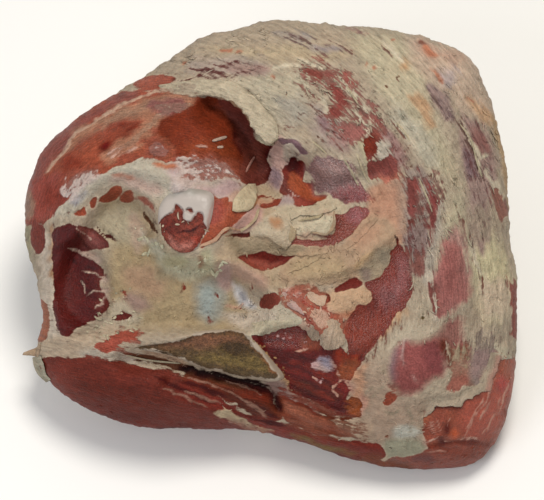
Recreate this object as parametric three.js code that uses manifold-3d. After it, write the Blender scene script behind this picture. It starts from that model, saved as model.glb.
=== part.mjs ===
// Leg of veal, shank off and pelvic bone in, lying on its outer side with the boned side up.
// Millimetres, +Z up. The leg stands on Z = 0 with the origin under the middle of its box.
//
// The boned side is laid out on the face plane, x to the right and y away from the cook, as it is
// seen square-on from EYE_DISTANCE. The plane leans back by FACE_TILT, as the leg lies: its far
// edge is the high one. Heights rise from that plane towards the eye and depths fall behind it.
import * as THREE from "three";
import { mergeVertices } from "three/addons/utils/BufferGeometryUtils.js";
import Module from "manifold-3d";

const wasm = await Module();
wasm.setup();

// Driving dimensions.
const EYE_DISTANCE = 1500; // the face is drawn as it looks from here
const FACE_TILT = THREE.MathUtils.degToRad(30); // how far the face leans back from the level
const FACE_RISE = 74; // how far the boned side domes above its rim
const BACK_DEPTH = 128; // how far the outer side bulges behind the rim, before it is pressed flat
const RIM_HEIGHT = 97; // height of the rim's middle above the table
const FLOOR_SOFTNESS = 7; // the pressed foot rounds off over this height
const SHIFT_X = 0; // these two bring the middle of the box over the origin
const SHIFT_Y = -8;
const SOCKET_GAP = 0.35; // clearance all round a bone in its socket
const FRONT_SHAPE = { flatness: 2.5, shoulder: 2.1 };
const BACK_SHAPE = { flatness: 2.3, shoulder: 2.0 };
const GRID = 64; // vertices along one side of the boned side's grid
const BACK_RINGS = [1, 1, 2, 2, 2, 2, 4, 4, 4, 4]; // each ring keeps every n-th rim vertex

// The leg's outline on the face plane, anticlockwise from the right: shank end, far edge, rump, near edge.
const OUTLINE = [
  [192, 0], [190, 26], [189, 58], [182, 92], [173, 122], [159, 150], [112, 169], [40, 177], [0, 180],
  [-29, 172], [-54, 166], [-82, 148], [-114, 127], [-153, 103], [-181, 77], [-195, 42], [-196, 4],
  [-187, -30], [-183, -58], [-188, -88], [-182, -103], [-168, -117], [-143, -133], [-105, -145],
  [-60, -147], [-10, -149], [31, -160], [63, -171], [90, -177], [130, -179], [163, -174], [181, -154],
  [192, -121], [196, -84], [197, -48], [196, -20],
];

// Muscles, fat and swellings that stand up as mounds: middle, half sizes, turn in degrees, height.
const MOUNDS = [
  { name: "rump muscle", at: [-82, 88], half: [64, 34], turn: 22, height: 15 },
  { name: "rump lobe", at: [-150, 66], half: [30, 22], turn: 48, height: 6 },
  { name: "fat dome", at: [5, 138], half: [105, 30], turn: -6, height: 7 },
  { name: "bone collar", at: [-72, 22], half: [34, 30], turn: 0, height: 12 },
  { name: "knuckle flap", at: [-27, 28], half: [11, 24], turn: -38, height: 9 },
  { name: "cream flap", at: [38, 20], half: [16, 12], turn: 0, height: 5 },
  { name: "cream cushion", at: [0, 14], half: [18, 14], turn: 0, height: 5 },
  { name: "fat lump", at: [60, -45], half: [20, 10], turn: 8, height: 5 },
  { name: "shred knot", at: [40, -62], half: [20, 13], turn: -35, height: 6 },
  { name: "inner band", at: [60, -12], half: [54, 12], turn: 30, height: 6 },
  { name: "topside roll", at: [-98, -122], half: [78, 20], turn: -8, height: 13 },
  { name: "near edge roll", at: [45, -150], half: [70, 10], turn: -14, height: 6 },
  { name: "long muscle", at: [143, -18], half: [16, 48], turn: -6, height: 5 },
  { name: "round muscle", at: [112, -98], half: [30, 24], turn: 25, height: 6 },
  { name: "shank end", at: [158, -138], half: [30, 26], turn: 30, height: 8 },
  { name: "flank shoulder", at: [128, 70], half: [34, 78], turn: 18, height: 8 },
];

// Ridges that stand up, and creases and clefts that sink, along a path: width and height, minus for a sink.
const RIDGES = [
  { name: "tendon band", width: 8, height: 7, path: [[-176, 20], [-158, 38], [-138, 55], [-115, 61], [-92, 57], [-72, 48]] },
  { name: "rump rim", width: 8, height: 6, path: [[-168, 14], [-172, -20], [-170, -56], [-160, -76], [-138, -83]] },
  { name: "fat sheet edge", width: 9, height: 6, path: [[-78, 130], [-45, 124], [-20, 108], [-5, 90], [8, 84], [30, 78]] },
  { name: "cleft under the fat", width: 16, height: -28, path: [[-44, 110], [-30, 101], [-18, 84], [-10, 66], [-8, 52]] },
  { name: "small pit", width: 9, height: -10, path: [[18, 66], [26, 54], [34, 42]] },
  { name: "gap under the bone", width: 7.5, height: -10, path: [[-118, -93], [-85, -94], [-60, -102], [-25, -109], [-2, -116], [6, -130]] },
  { name: "near edge seam", width: 6.5, height: -6, path: [[-80, -110], [-40, -125], [0, -139], [50, -151], [98, -159]] },
  { name: "cover seam", width: 8, height: -5, path: [[104, 96], [118, 50], [124, 10], [118, -30], [98, -62], [76, -92]] },
  { name: "outer cover seam", width: 8, height: -4, path: [[120, 110], [152, 40], [166, -20], [166, -70]] },
  { name: "rump seam", width: 6.5, height: -4, path: [[-180, 50], [-168, 73], [-150, 88], [-126, 104], [-100, 117], [-80, 127]] },
  { name: "inner rump seam", width: 6.5, height: -4, path: [[-168, 42], [-140, 66], [-112, 78], [-92, 100], [-74, 112]] },
  { name: "lens cut", width: 6.5, height: -4, path: [[-22, -11], [0, -14], [18, -9]] },
];

// Areas whose floor lies lower, minus, or stands proud: closed outline, height, and how softly it starts.
const FLOORS = [
  {
    name: "pelvic basin", height: -17, soft: 15,
    outline: [[-152, 8], [-122, 40], [-98, 30], [-90, -6], [-58, -18], [-22, -25], [-2, -48], [-15, -66], [-65, -68], [-112, -70], [-150, -66], [-172, -40]],
  },
  {
    name: "rump cut face", height: -8, soft: 8,
    outline: [[-172, -4], [-150, 2], [-136, -10], [-128, -40], [-136, -60], [-160, -72], [-173, -40]],
  },
  {
    name: "inner hollow", height: -7, soft: 14,
    outline: [[8, 82], [50, 52], [92, 64], [106, 20], [110, -20], [94, -60], [68, -72], [36, -52], [0, -30], [-30, 0], [-24, 40], [-5, 52]],
  },
  {
    name: "boned-out bed", height: -6, soft: 6,
    outline: [[-8, -72], [30, -67], [50, -84], [71, -98], [70, -132], [40, -132], [14, -114]],
  },
  {
    name: "shank cut", height: -5, soft: 7,
    outline: [[121, -127], [150, -119], [178, -92], [194, -92], [191, -130], [170, -166], [128, -160]],
  },
];

// The pelvic bone shows at two sawn faces: the shaft of the ilium, and the long face down the middle
// where the two halves of the carcass were parted.
const BONES = [
  {
    name: "ilium_bone", depth: 38, lift: 3, lean: [0.1, -0.12], color: 0x9a5a4c, roughness: 0.5,
    outline: [[-89, 12], [-88, 32], [-78, 42], [-60, 44], [-47, 40], [-47, 26], [-53, 8], [-61, -4], [-72, -7], [-83, 0]],
  },
  {
    name: "pelvis_sawn_face", depth: 24, lift: 3, lean: [0.06, 0.1], color: 0x6b4f30, roughness: 0.75,
    outline: [[-122, -81], [-98, -79], [-74, -75], [-58, -70], [-22, -70], [-11, -80], [1, -93], [10, -106], [2, -109], [-14, -107], [-34, -103], [-55, -98], [-76, -90], [-98, -85]],
  },
];
const BONE_OUTLINE_STEPS = 44;
const BONE_DEPTH_STEPS = 2;

const MEAT_COLOR = 0x9c6a58;
const MEAT_ROUGHNESS = 0.55;

const smoothstep = (t) => {
  const s = Math.min(1, Math.max(0, t));
  return s * s * (3 - 2 * s);
};

// A smooth closed curve through a few points, as a list of points.
function closedCurve(points, steps) {
  const corners = points.map(([x, y]) => new THREE.Vector3(x, y, 0));
  return new THREE.CatmullRomCurve3(corners, true, "centripetal").getPoints(steps).slice(0, steps);
}

// An open smooth curve through a few points, as a list of points.
function openCurve(points, steps) {
  const corners = points.map(([x, y]) => new THREE.Vector3(x, y, 0));
  return new THREE.CatmullRomCurve3(corners, false, "centripetal").getPoints(steps);
}

// Distance from (x, y) to the segment from a to b.
function segmentDistance(x, y, a, b) {
  const dx = b.x - a.x;
  const dy = b.y - a.y;
  const t = Math.min(1, Math.max(0, ((x - a.x) * dx + (y - a.y) * dy) / (dx * dx + dy * dy)));
  return Math.hypot(x - a.x - t * dx, y - a.y - t * dy);
}

function pathDistance(x, y, path) {
  let least = Infinity;
  for (let i = 1; i < path.length; i++) least = Math.min(least, segmentDistance(x, y, path[i - 1], path[i]));
  return least;
}

// Distance to a closed outline, positive inside it.
function insideDistance(x, y, loop) {
  let least = Infinity;
  let inside = false;
  loop.forEach((b, i) => {
    const a = loop[(i + loop.length - 1) % loop.length];
    least = Math.min(least, segmentDistance(x, y, a, b));
    if (a.y > y !== b.y > y && x < a.x + ((y - a.y) / (b.y - a.y)) * (b.x - a.x)) inside = !inside;
  });
  return inside ? least : -least;
}

// The outline's radius in a direction, from a table of its smooth curve.
const OUTLINE_TABLE = closedCurve(OUTLINE, 720)
  .map((p) => ({ angle: Math.atan2(p.y, p.x), radius: Math.hypot(p.x, p.y) }))
  .sort((a, b) => a.angle - b.angle);

function outlineRadius(angle) {
  const count = OUTLINE_TABLE.length;
  let high = OUTLINE_TABLE.findIndex((p) => p.angle >= angle);
  if (high < 0) high = 0;
  const b = OUTLINE_TABLE[high];
  const a = OUTLINE_TABLE[(high + count - 1) % count];
  const turn = 2 * Math.PI;
  const span = (b.angle - a.angle + turn) % turn;
  const share = span > 0 ? ((angle - a.angle + turn) % turn) / span : 0;
  return a.radius + (b.radius - a.radius) * share;
}

const ridgePaths = RIDGES.map((ridge) => openCurve(ridge.path, 24));
const floorLoops = FLOORS.map((floor) => closedCurve(floor.outline, 60));

// Height of everything that stands on the dome or sinks into it, at a point of the face plane.
function relief(x, y) {
  let height = 0;
  for (const mound of MOUNDS) {
    const turn = THREE.MathUtils.degToRad(mound.turn);
    const dx = x - mound.at[0];
    const dy = y - mound.at[1];
    const along = (dx * Math.cos(turn) + dy * Math.sin(turn)) / mound.half[0];
    const across = (dy * Math.cos(turn) - dx * Math.sin(turn)) / mound.half[1];
    const reach = along * along + across * across;
    height += mound.height * Math.exp(-Math.pow(reach, 1.4));
  }
  RIDGES.forEach((ridge, i) => {
    const share = pathDistance(x, y, ridgePaths[i]) / ridge.width;
    if (share < 3) height += ridge.height * Math.exp(-share * share);
  });
  FLOORS.forEach((floor, i) => {
    height += floor.height * smoothstep(0.5 + insideDistance(x, y, floorLoops[i]) / floor.soft);
  });
  return height;
}

// The dome's height at a share of the way from the middle, 0, to the rim, 1.
function dome(share, shape) {
  return Math.pow(1 - Math.pow(share, shape.flatness), 1 / shape.shoulder);
}

function frontHeight(x, y, share) {
  const fade = 1 - Math.pow(share, 10);
  return FACE_RISE * dome(share, FRONT_SHAPE) + relief(x, y) * fade;
}

// A point of the face plane with its height, as a point of the leg on the table.
function place(x, y, height) {
  const draw = 1 - height / EYE_DISTANCE;
  const faceY = y * draw;
  const point = new THREE.Vector3(
    x * draw,
    faceY * Math.cos(FACE_TILT) - height * Math.sin(FACE_TILT),
    faceY * Math.sin(FACE_TILT) + height * Math.cos(FACE_TILT) + RIM_HEIGHT,
  );
  // Below the table the leg is pressed flat, with a soft start.
  if (point.z < -FLOOR_SOFTNESS) point.z = 0;
  else if (point.z < FLOOR_SOFTNESS) point.z = (point.z + FLOOR_SOFTNESS) ** 2 / (4 * FLOOR_SOFTNESS);
  point.x += SHIFT_X;
  point.y += SHIFT_Y;
  return point;
}

// Shares of the way to the rim that walk evenly along the dome's own curve, by a table.
function evenShares(rise, shape) {
  const steps = 2000;
  const reach = 190;
  const table = [0];
  let lastHeight = rise;
  for (let i = 1; i <= steps; i++) {
    const share = Math.sin(((i / steps) * Math.PI) / 2);
    const before = Math.sin((((i - 1) / steps) * Math.PI) / 2);
    const height = rise * dome(share, shape);
    table.push(table[i - 1] + Math.hypot((share - before) * reach, height - lastHeight));
    lastHeight = height;
  }
  return (walked) => {
    const target = walked * table[steps];
    let i = table.findIndex((length) => length >= target);
    i = Math.max(i, 1);
    const part = (target - table[i - 1]) / (table[i] - table[i - 1]);
    return Math.sin((((i - 1 + part) / steps) * Math.PI) / 2);
  };
}

// The meat as one closed mesh: a square grid bent to fill the outline is the boned side, and rings
// that thin out towards their middle are the outer side.
function meatGeometry() {
  const positions = [];
  const triangles = [];
  const last = GRID - 1;
  const frontShare = evenShares(FACE_RISE, FRONT_SHAPE);
  const backShare = evenShares(BACK_DEPTH, BACK_SHAPE);
  const rimIndex = [];

  for (let row = 0; row < GRID; row++) {
    for (let column = 0; column < GRID; column++) {
      const u = (2 * column) / last - 1;
      const v = (2 * row) / last - 1;
      const discX = u * Math.sqrt(1 - (v * v) / 2);
      const discY = v * Math.sqrt(1 - (u * u) / 2);
      const walked = Math.min(1, Math.hypot(discX, discY));
      const onRim = row === 0 || column === 0 || row === last || column === last;
      const share = onRim ? 1 : frontShare(walked);
      const angle = Math.atan2(discY, discX);
      const radius = share * outlineRadius(angle);
      const x = radius * Math.cos(angle);
      const y = radius * Math.sin(angle);
      positions.push(...place(x, y, frontHeight(x, y, share)).toArray());
    }
  }
  const at = (row, column) => row * GRID + column;
  for (let row = 0; row < last; row++) {
    for (let column = 0; column < last; column++) {
      const [a, b] = [at(row, column), at(row, column + 1)];
      const [c, d] = [at(row + 1, column + 1), at(row + 1, column)];
      // The shorter diagonal runs along the creases, not across them.
      if (apart(positions, a, c) < apart(positions, b, d)) triangles.push(a, b, c, a, c, d);
      else triangles.push(a, b, d, b, c, d);
    }
  }

  // The rim's vertices, anticlockwise as the eye sees them, from the lower left corner of the grid.
  for (let i = 0; i < last; i++) rimIndex.push(at(0, i));
  for (let i = 0; i < last; i++) rimIndex.push(at(i, last));
  for (let i = last; i > 0; i--) rimIndex.push(at(last, i));
  for (let i = last; i > 0; i--) rimIndex.push(at(i, 0));
  const rimAngle = rimIndex.map((index) => {
    const column = index % GRID;
    const row = (index - column) / GRID;
    const u = (2 * column) / last - 1;
    const v = (2 * row) / last - 1;
    return Math.atan2(v * Math.sqrt(1 - (u * u) / 2), u * Math.sqrt(1 - (v * v) / 2));
  });

  let previous = rimIndex;
  let previousThin = 1;
  BACK_RINGS.forEach((thin, ring) => {
    const share = backShare(1 - (ring + 1) / (BACK_RINGS.length + 1));
    const current = [];
    for (let i = 0; i < rimAngle.length; i += thin) {
      const radius = share * outlineRadius(rimAngle[i]);
      const x = radius * Math.cos(rimAngle[i]);
      const y = radius * Math.sin(rimAngle[i]);
      current.push(positions.length / 3);
      positions.push(...place(x, y, -BACK_DEPTH * dome(share, BACK_SHAPE)).toArray());
    }
    joinRings(previous, current, thin / previousThin, triangles);
    previous = current;
    previousThin = thin;
  });
  const pole = positions.length / 3;
  positions.push(...place(0, 0, -BACK_DEPTH).toArray());
  previous.forEach((index, i) => triangles.push(previous[(i + 1) % previous.length], index, pole));
  return geometryOf(positions, triangles);
}

// How far apart two vertices are.
function apart(positions, i, j) {
  return Math.hypot(...[0, 1, 2].map((k) => positions[3 * i + k] - positions[3 * j + k]));
}

// Joins an outer ring to an inner one with as many vertices, or half as many.
function joinRings(outer, inner, ratio, triangles) {
  inner.forEach((near, i) => {
    const next = inner[(i + 1) % inner.length];
    const a = outer[i * ratio];
    const b = outer[(i * ratio + 1) % outer.length];
    triangles.push(a, near, b);
    if (ratio === 2) {
      const c = outer[(i * ratio + 2) % outer.length];
      triangles.push(b, near, next, b, next, c);
    } else {
      triangles.push(b, near, next);
    }
  });
}

function geometryOf(positions, triangles) {
  const geometry = new THREE.BufferGeometry();
  geometry.setAttribute("position", new THREE.Float32BufferAttribute(positions, 3));
  geometry.setIndex(triangles);
  return geometry;
}

// A sawn bone: its outline run back into the meat from a flat sawn face that follows the meat around it.
// grow widens the outline and raise lifts the face, for the socket that the bone sits in.
function boneGeometry(bone, grow, raise) {
  const loop = closedCurve(bone.outline, BONE_OUTLINE_STEPS);
  const middle = loop.reduce((sum, p) => sum.add(p), new THREE.Vector3()).divideScalar(loop.length);
  const rim = loop.map((p, i) => {
    const along = loop[(i + 1) % loop.length].clone().sub(loop[(i + loop.length - 1) % loop.length]);
    const out = new THREE.Vector3(along.y, -along.x, 0).normalize();
    if (out.dot(p.clone().sub(middle)) < 0) out.negate();
    return new THREE.Vector2(p.x + out.x * grow, p.y + out.y * grow);
  });
  const share = Math.hypot(middle.x, middle.y) / outlineRadius(Math.atan2(middle.y, middle.x));
  const faceHeight = frontHeight(middle.x, middle.y, share) + bone.lift;
  const geometry = new THREE.ExtrudeGeometry(new THREE.Shape(rim), {
    depth: 1,
    steps: BONE_DEPTH_STEPS,
    bevelEnabled: false,
  });
  const position = geometry.getAttribute("position");
  for (let i = 0; i < position.count; i++) {
    const x = position.getX(i);
    const y = position.getY(i);
    const slope = (x - middle.x) * bone.lean[0] + (y - middle.y) * bone.lean[1];
    const top = faceHeight + slope + raise;
    const bottom = faceHeight + slope - bone.depth - grow;
    const point = place(x, y, bottom + (top - bottom) * position.getZ(i));
    position.setXYZ(i, point.x, point.y, point.z);
  }
  return geometry;
}

function solidOf(geometry) {
  const bare = geometry.clone();
  bare.deleteAttribute("normal");
  bare.deleteAttribute("uv");
  const merged = mergeVertices(bare, 1e-3);
  return new wasm.Manifold(
    new wasm.Mesh({
      numProp: 3,
      vertProperties: merged.attributes.position.array,
      triVerts: new Uint32Array(merged.index.array),
    }),
  );
}

function geometryFromSolid(solid) {
  const mesh = solid.getMesh();
  return geometryOf(Array.from(mesh.vertProperties), Array.from(mesh.triVerts));
}

function named(name, geometry, color, roughness) {
  const material = new THREE.MeshStandardMaterial({ color, roughness, metalness: 0 });
  geometry.computeVertexNormals();
  const mesh = new THREE.Mesh(geometry, material);
  mesh.name = name;
  return mesh;
}

const leg = new THREE.Group();
const SOCKET_RAISE = 40; // the socket's cutter reaches this far out of the meat
let meat = solidOf(meatGeometry());
for (const bone of BONES) {
  meat = meat.subtract(solidOf(boneGeometry(bone, SOCKET_GAP, SOCKET_RAISE)));
  leg.add(named(bone.name, boneGeometry(bone, 0, 0), bone.color, bone.roughness));
}
leg.add(named("meat", geometryFromSolid(meat), MEAT_COLOR, MEAT_ROUGHNESS));

export default leg;
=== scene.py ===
# %% [markdown]
# # A leg of veal
# A whole leg without its shank lies on its outer side, so that the boned inner side faces us.
# It is one mass of muscles under a torn cover of fat and membrane, with two sawn bones in it.
# We build it in the order of the real thing: the form, the tissues, the bones, the loose shreds.
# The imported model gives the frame: everything here is placed in its millimetres.

import math

import bpy
import numpy as np
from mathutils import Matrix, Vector


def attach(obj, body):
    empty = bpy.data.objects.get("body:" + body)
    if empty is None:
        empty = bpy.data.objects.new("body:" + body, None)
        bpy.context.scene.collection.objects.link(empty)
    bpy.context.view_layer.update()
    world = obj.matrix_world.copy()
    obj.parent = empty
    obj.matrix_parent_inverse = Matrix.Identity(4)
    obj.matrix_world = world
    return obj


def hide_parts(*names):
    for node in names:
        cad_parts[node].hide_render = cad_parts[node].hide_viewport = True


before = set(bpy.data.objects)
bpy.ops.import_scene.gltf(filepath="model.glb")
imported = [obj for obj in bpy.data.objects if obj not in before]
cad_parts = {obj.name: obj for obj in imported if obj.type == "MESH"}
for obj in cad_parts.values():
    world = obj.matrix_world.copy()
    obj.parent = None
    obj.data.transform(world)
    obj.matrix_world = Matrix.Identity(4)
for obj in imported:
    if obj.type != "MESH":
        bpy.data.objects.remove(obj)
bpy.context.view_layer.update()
print("packed nodes:", sorted(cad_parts))

# %% [markdown]
# The face plane is the sheet on which the boned side is laid out, x to the right and y away
# from us, as it looks square-on from the eye. It leans back from the level, as the leg lies.
# These are the model's own driving sizes, so that the new surfaces fall on its solids.

# %% The driving sizes, in millimetres
EYE_DISTANCE = 1500.0
FACE_TILT = math.radians(30)
FACE_RISE = 74.0
BACK_DEPTH = 128.0
RIM_HEIGHT = 97.0
FLOOR_SOFTNESS = 7.0
SHIFT_Y = -8.0
MM = 0.001
print("the face plane leans back by", round(math.degrees(FACE_TILT)), "degrees")

# %% [markdown]
# The model lies leaned back on the table and pressed flat where it touches. One function does
# that to any point of the face plane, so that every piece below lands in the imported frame.

# %% From the face plane to the table


def lean_back(x, y, height):
    """Turns face plane points by FACE_TILT about the x axis and lifts them to their place: y cos
    - h sin + SHIFT_Y, and y sin + h cos + RIM_HEIGHT, in mm."""
    cosine, sine = math.cos(FACE_TILT), math.sin(FACE_TILT)
    back = y * cosine - height * sine + SHIFT_Y
    up = y * sine + height * cosine + RIM_HEIGHT
    return np.stack([x, back, up], axis=-1)


def place(x, y, height):
    """Draws points in towards the eye's axis by height / EYE_DISTANCE, leans them back, and
    rounds them off onto the table: z = (z + soft)^2 / (4 soft) between -soft and soft."""
    draw = 1 - height / EYE_DISTANCE
    points = lean_back(x * draw, y * draw, height)
    z = points[..., 2]
    soft = FLOOR_SOFTNESS
    pressed = np.where(z < -soft, 0.0, (z + soft) ** 2 / (4 * soft))
    points[..., 2] = np.where(z < soft, pressed, z)
    return points


print("the rim's middle stands", place(0.0, 0.0, 0.0)[2], "mm over the table")

# %% [markdown]
# The camera comes first. It looks square onto the face plane from EYE_DISTANCE, which is 60
# degrees above the horizon, and its lens shows as much of the plane as the photograph does.

# %% The camera
PICTURE_WIDTH_PX = 544
MM_PER_PX = 0.8
PICTURE_CENTRE = (0.8, -4.0)
SENSOR_MM = 36.0

camera_data = bpy.data.cameras.new("camera")
camera_data.sensor_width = SENSOR_MM
camera_data.lens = SENSOR_MM * EYE_DISTANCE / (PICTURE_WIDTH_PX * MM_PER_PX)
camera = bpy.data.objects.new("camera", camera_data)
bpy.context.scene.collection.objects.link(camera)
eye = lean_back(PICTURE_CENTRE[0], PICTURE_CENTRE[1], EYE_DISTANCE)
camera.location = Vector(eye) * MM
camera.rotation_euler = (FACE_TILT, 0, 0)
bpy.context.scene.camera = camera
print("lens", round(camera_data.lens, 1), "mm")

# %% [markdown]
# A soft studio: one wide light above and behind, as the meat's far side is the bright one, a
# weaker one from the left, and a pale world. The floor is a plain pale sheet.

# %% The studio


def srgb(hex_colour):
    """An sRGB hex value as linear red, green and blue."""
    value = np.array([int(hex_colour[i : i + 2], 16) / 255 for i in (1, 3, 5)])
    return np.where(value <= 0.04045, value / 12.92, ((value + 0.055) / 1.055) ** 2.4)


def add(tree, kind, inputs=None, **settings):
    """Adds a shader node with its settings. Each input takes a number, a colour, a socket, or a
    node, whose first output is then linked."""
    made = tree.nodes.new(kind)
    for key, value in settings.items():
        setattr(made, key, value)
    for key, value in (inputs or {}).items():
        source = value.outputs[0] if hasattr(value, "outputs") else value
        if hasattr(source, "is_linked"):
            tree.links.new(source, made.inputs[key])
        else:
            made.inputs[key].default_value = source
    return made


def area_light(name, size, energy, location, colour, target=(0, 0, 0.1)):
    """A round lamp of a size in metres, turned towards its target."""
    light = bpy.data.lights.new(name, "AREA")
    light.shape = "DISK"
    light.size = size
    light.energy = energy
    light.color = srgb(colour)
    lamp = bpy.data.objects.new(name, light)
    lamp.location = location
    aim = Vector(target) - Vector(location)
    lamp.rotation_euler = aim.to_track_quat("-Z", "Y").to_euler()
    bpy.context.scene.collection.objects.link(lamp)


area_light("overhead", 0.6, 18.0, (0.2, 0.25, 1.65), "#fffaf2")
area_light("side", 0.9, 9, (-0.9, -1.0, 1.1), "#f4f7ff")

world = bpy.data.worlds.new("studio")
world.use_nodes = True
world.node_tree.nodes["Background"].inputs["Color"].default_value = (*srgb("#f3f3f1"), 1)
world.node_tree.nodes["Background"].inputs["Strength"].default_value = 0.46
bpy.context.scene.world = world

FLOOR_HALF_M = 4.0
floor_mesh = bpy.data.meshes.new("floor")
corners = [(-1, -1), (1, -1), (1, 1), (-1, 1)]
floor_corners = [(x * FLOOR_HALF_M, y * FLOOR_HALF_M, 0) for x, y in corners]
floor_mesh.from_pydata(floor_corners, [], [(0, 1, 2, 3)])
floor = bpy.data.objects.new("floor", floor_mesh)
bpy.context.scene.collection.objects.link(floor)
floor_paper = bpy.data.materials.new("matt_studio_paper")
floor_paper.use_nodes = True
floor_shader = floor_paper.node_tree.nodes["Principled BSDF"]
floor_shader.inputs["Base Color"].default_value = (*srgb("#f4f3f0"), 1)
floor_shader.inputs["Roughness"].default_value = 0.9
floor_mesh.materials.append(floor_paper)
bpy.context.scene.view_settings.view_transform = "Standard"

# %% [markdown]
# Everything on the leg is laid out with a few curve tools: a smooth curve through a few points,
# the distance to it, and a smooth noise for what nature leaves uneven.

# %% Curves, distances and noise


def dots(text):
    """Points from a text such as "27,140 31,141": x,y for each, or x,y,lift."""
    return np.array([[float(value) for value in point.split(",")] for point in text.split()])


def smooth_curve(points, closed, steps=6):
    """A centripetal Catmull-Rom curve: a cubic between each two points, whose end slopes follow
    the neighbours, weighted by the square root of their distances."""
    p = dots(points) if isinstance(points, str) else np.asarray(points, float)
    if closed:
        p = np.concatenate([p[-1:], p, p[:2]])
    else:
        p = np.concatenate([2 * p[:1] - p[1:2], p, 2 * p[-1:] - p[-2:-1]])
    p0, p1, p2, p3 = p[:-3], p[1:-2], p[2:-1], p[3:]
    pairs = ((p0, p1), (p1, p2), (p2, p3))
    d0, d1, d2 = (np.sqrt(np.linalg.norm(b - a, axis=1))[:, None] for a, b in pairs)
    m1 = ((p1 - p0) / d0 - (p2 - p0) / (d0 + d1) + (p2 - p1) / d1) * d1
    m2 = ((p2 - p1) / d1 - (p3 - p1) / (d1 + d2) + (p3 - p2) / d2) * d1
    t = (np.arange(steps) / steps)[None, :, None]
    p1, p2, m1, m2 = (a[:, None, :] for a in (p1, p2, m1, m2))
    curve = (
        (2 * t**3 - 3 * t**2 + 1) * p1
        + (t**3 - 2 * t**2 + t) * m1
        + (3 * t**2 - 2 * t**3) * p2
        + (t**3 - t**2) * m2
    ).reshape(-1, p.shape[1])
    return curve if closed else np.concatenate([curve, p[-2:-1]])


def distance_to(x, y, line, closed=False):
    """The distance to the nearest of a line's segments, and how far along the line that is, 0 to 1."""
    a = line if closed else line[:-1]
    b = np.roll(line, -1, axis=0) if closed else line[1:]
    step = b - a
    length = np.maximum((step**2).sum(1), 1e-9)
    dx = x[:, None] - a[None, :, 0]
    dy = y[:, None] - a[None, :, 1]
    t = np.clip((dx * step[:, 0] + dy * step[:, 1]) / length, 0, 1)
    away = np.hypot(dx - t * step[:, 0], dy - t * step[:, 1])
    nearest = away.argmin(1)
    row = np.arange(len(x))
    return away[row, nearest], (nearest + t[row, nearest]) / len(a)


def inside_distance(x, y, loop):
    """The distance to a closed line, positive inside it, by counting crossings to the right."""
    away, _ = distance_to(x, y, loop, closed=True)
    a, b = loop, np.roll(loop, -1, axis=0)
    straddles = (a[None, :, 1] > y[:, None]) != (b[None, :, 1] > y[:, None])
    rise = np.where(np.abs(b[:, 1] - a[:, 1]) < 1e-9, 1e-9, b[:, 1] - a[:, 1])
    crossing = a[:, 0] + (y[:, None] - a[:, 1]) / rise * (b[:, 0] - a[:, 0])
    odd = (straddles & (x[:, None] < crossing)).sum(1) % 2 == 1
    return np.where(odd, away, -away)


def smoothstep(t):
    """s^2 (3 - 2 s) with s the number held between 0 and 1."""
    s = np.clip(t, 0, 1)
    return s * s * (3 - 2 * s)


NOISE_SIDE = 256
noise_table = np.random.default_rng(20).uniform(-1, 1, (8, NOISE_SIDE, NOISE_SIDE))


def noise(u, v, layer=0):
    """Value noise from -1 to 1: random heights on a unit lattice, blended smoothly between."""
    iu, iv = np.floor(u).astype(int), np.floor(v).astype(int)
    fu, fv = smoothstep(u - iu), smoothstep(v - iv)
    table = noise_table[layer % len(noise_table)]

    def corner(i, j):
        """The random height at a corner of the lattice cell."""
        return table[(iu + i) % NOISE_SIDE, (iv + j) % NOISE_SIDE]

    low = corner(0, 0) * (1 - fu) + corner(1, 0) * fu
    high = corner(0, 1) * (1 - fu) + corner(1, 1) * fu
    return low * (1 - fv) + high * fv


def rough_noise(u, v, layer=0, octaves=4):
    """Noise upon noise: each layer is twice as fine and half as strong, over their sum, 1.9."""
    return sum(noise(u * 2**i, v * 2**i, layer + i) / 2**i for i in range(octaves)) / 1.9


print("noise from", round(noise_table.min(), 2), "to", round(noise_table.max(), 2))

# %% [markdown]
# The form. The rim is one closed outline on the face plane. The boned side domes up from it and
# the outer side bulges down, each by a rounded power law. The swellings, clefts and floors that
# follow are the model's own, and the fine ones at the end are too small for its solids.

# %% The form of the leg
OUTLINE = ("192,0 190,26 189,58 182,92 173,122 159,150 112,169 40,177 0,180 -29,172 -54,166 -82,148 "
    "-114,127 -153,103 -181,77 -195,42 -196,4 -187,-30 -183,-58 -188,-88 -182,-103 -168,-117 "
    "-143,-133 -105,-145 -60,-147 -10,-149 31,-160 63,-171 90,-177 130,-179 163,-174 181,-154 "
    "192,-121 196,-84 197,-48 196,-20")
# Mounds: middle, half sizes, turn in degrees, height.
MOUNDS = [
    ((-82, 88), (64, 34), 22, 15), ((-150, 66), (30, 22), 48, 6), ((5, 138), (105, 30), -6, 7),
    ((-72, 22), (34, 30), 0, 12), ((-27, 28), (11, 24), -38, 9), ((38, 20), (16, 12), 0, 5),
    ((0, 14), (18, 14), 0, 5), ((60, -45), (20, 10), 8, 5), ((40, -62), (20, 13), -35, 6),
    ((60, -12), (54, 12), 30, 6), ((-98, -122), (78, 20), -8, 13), ((45, -150), (70, 10), -14, 6),
    ((143, -18), (16, 48), -6, 5), ((112, -98), (30, 24), 25, 6), ((158, -138), (30, 26), 30, 8),
    ((128, 70), (34, 78), 18, 8),
]
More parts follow.
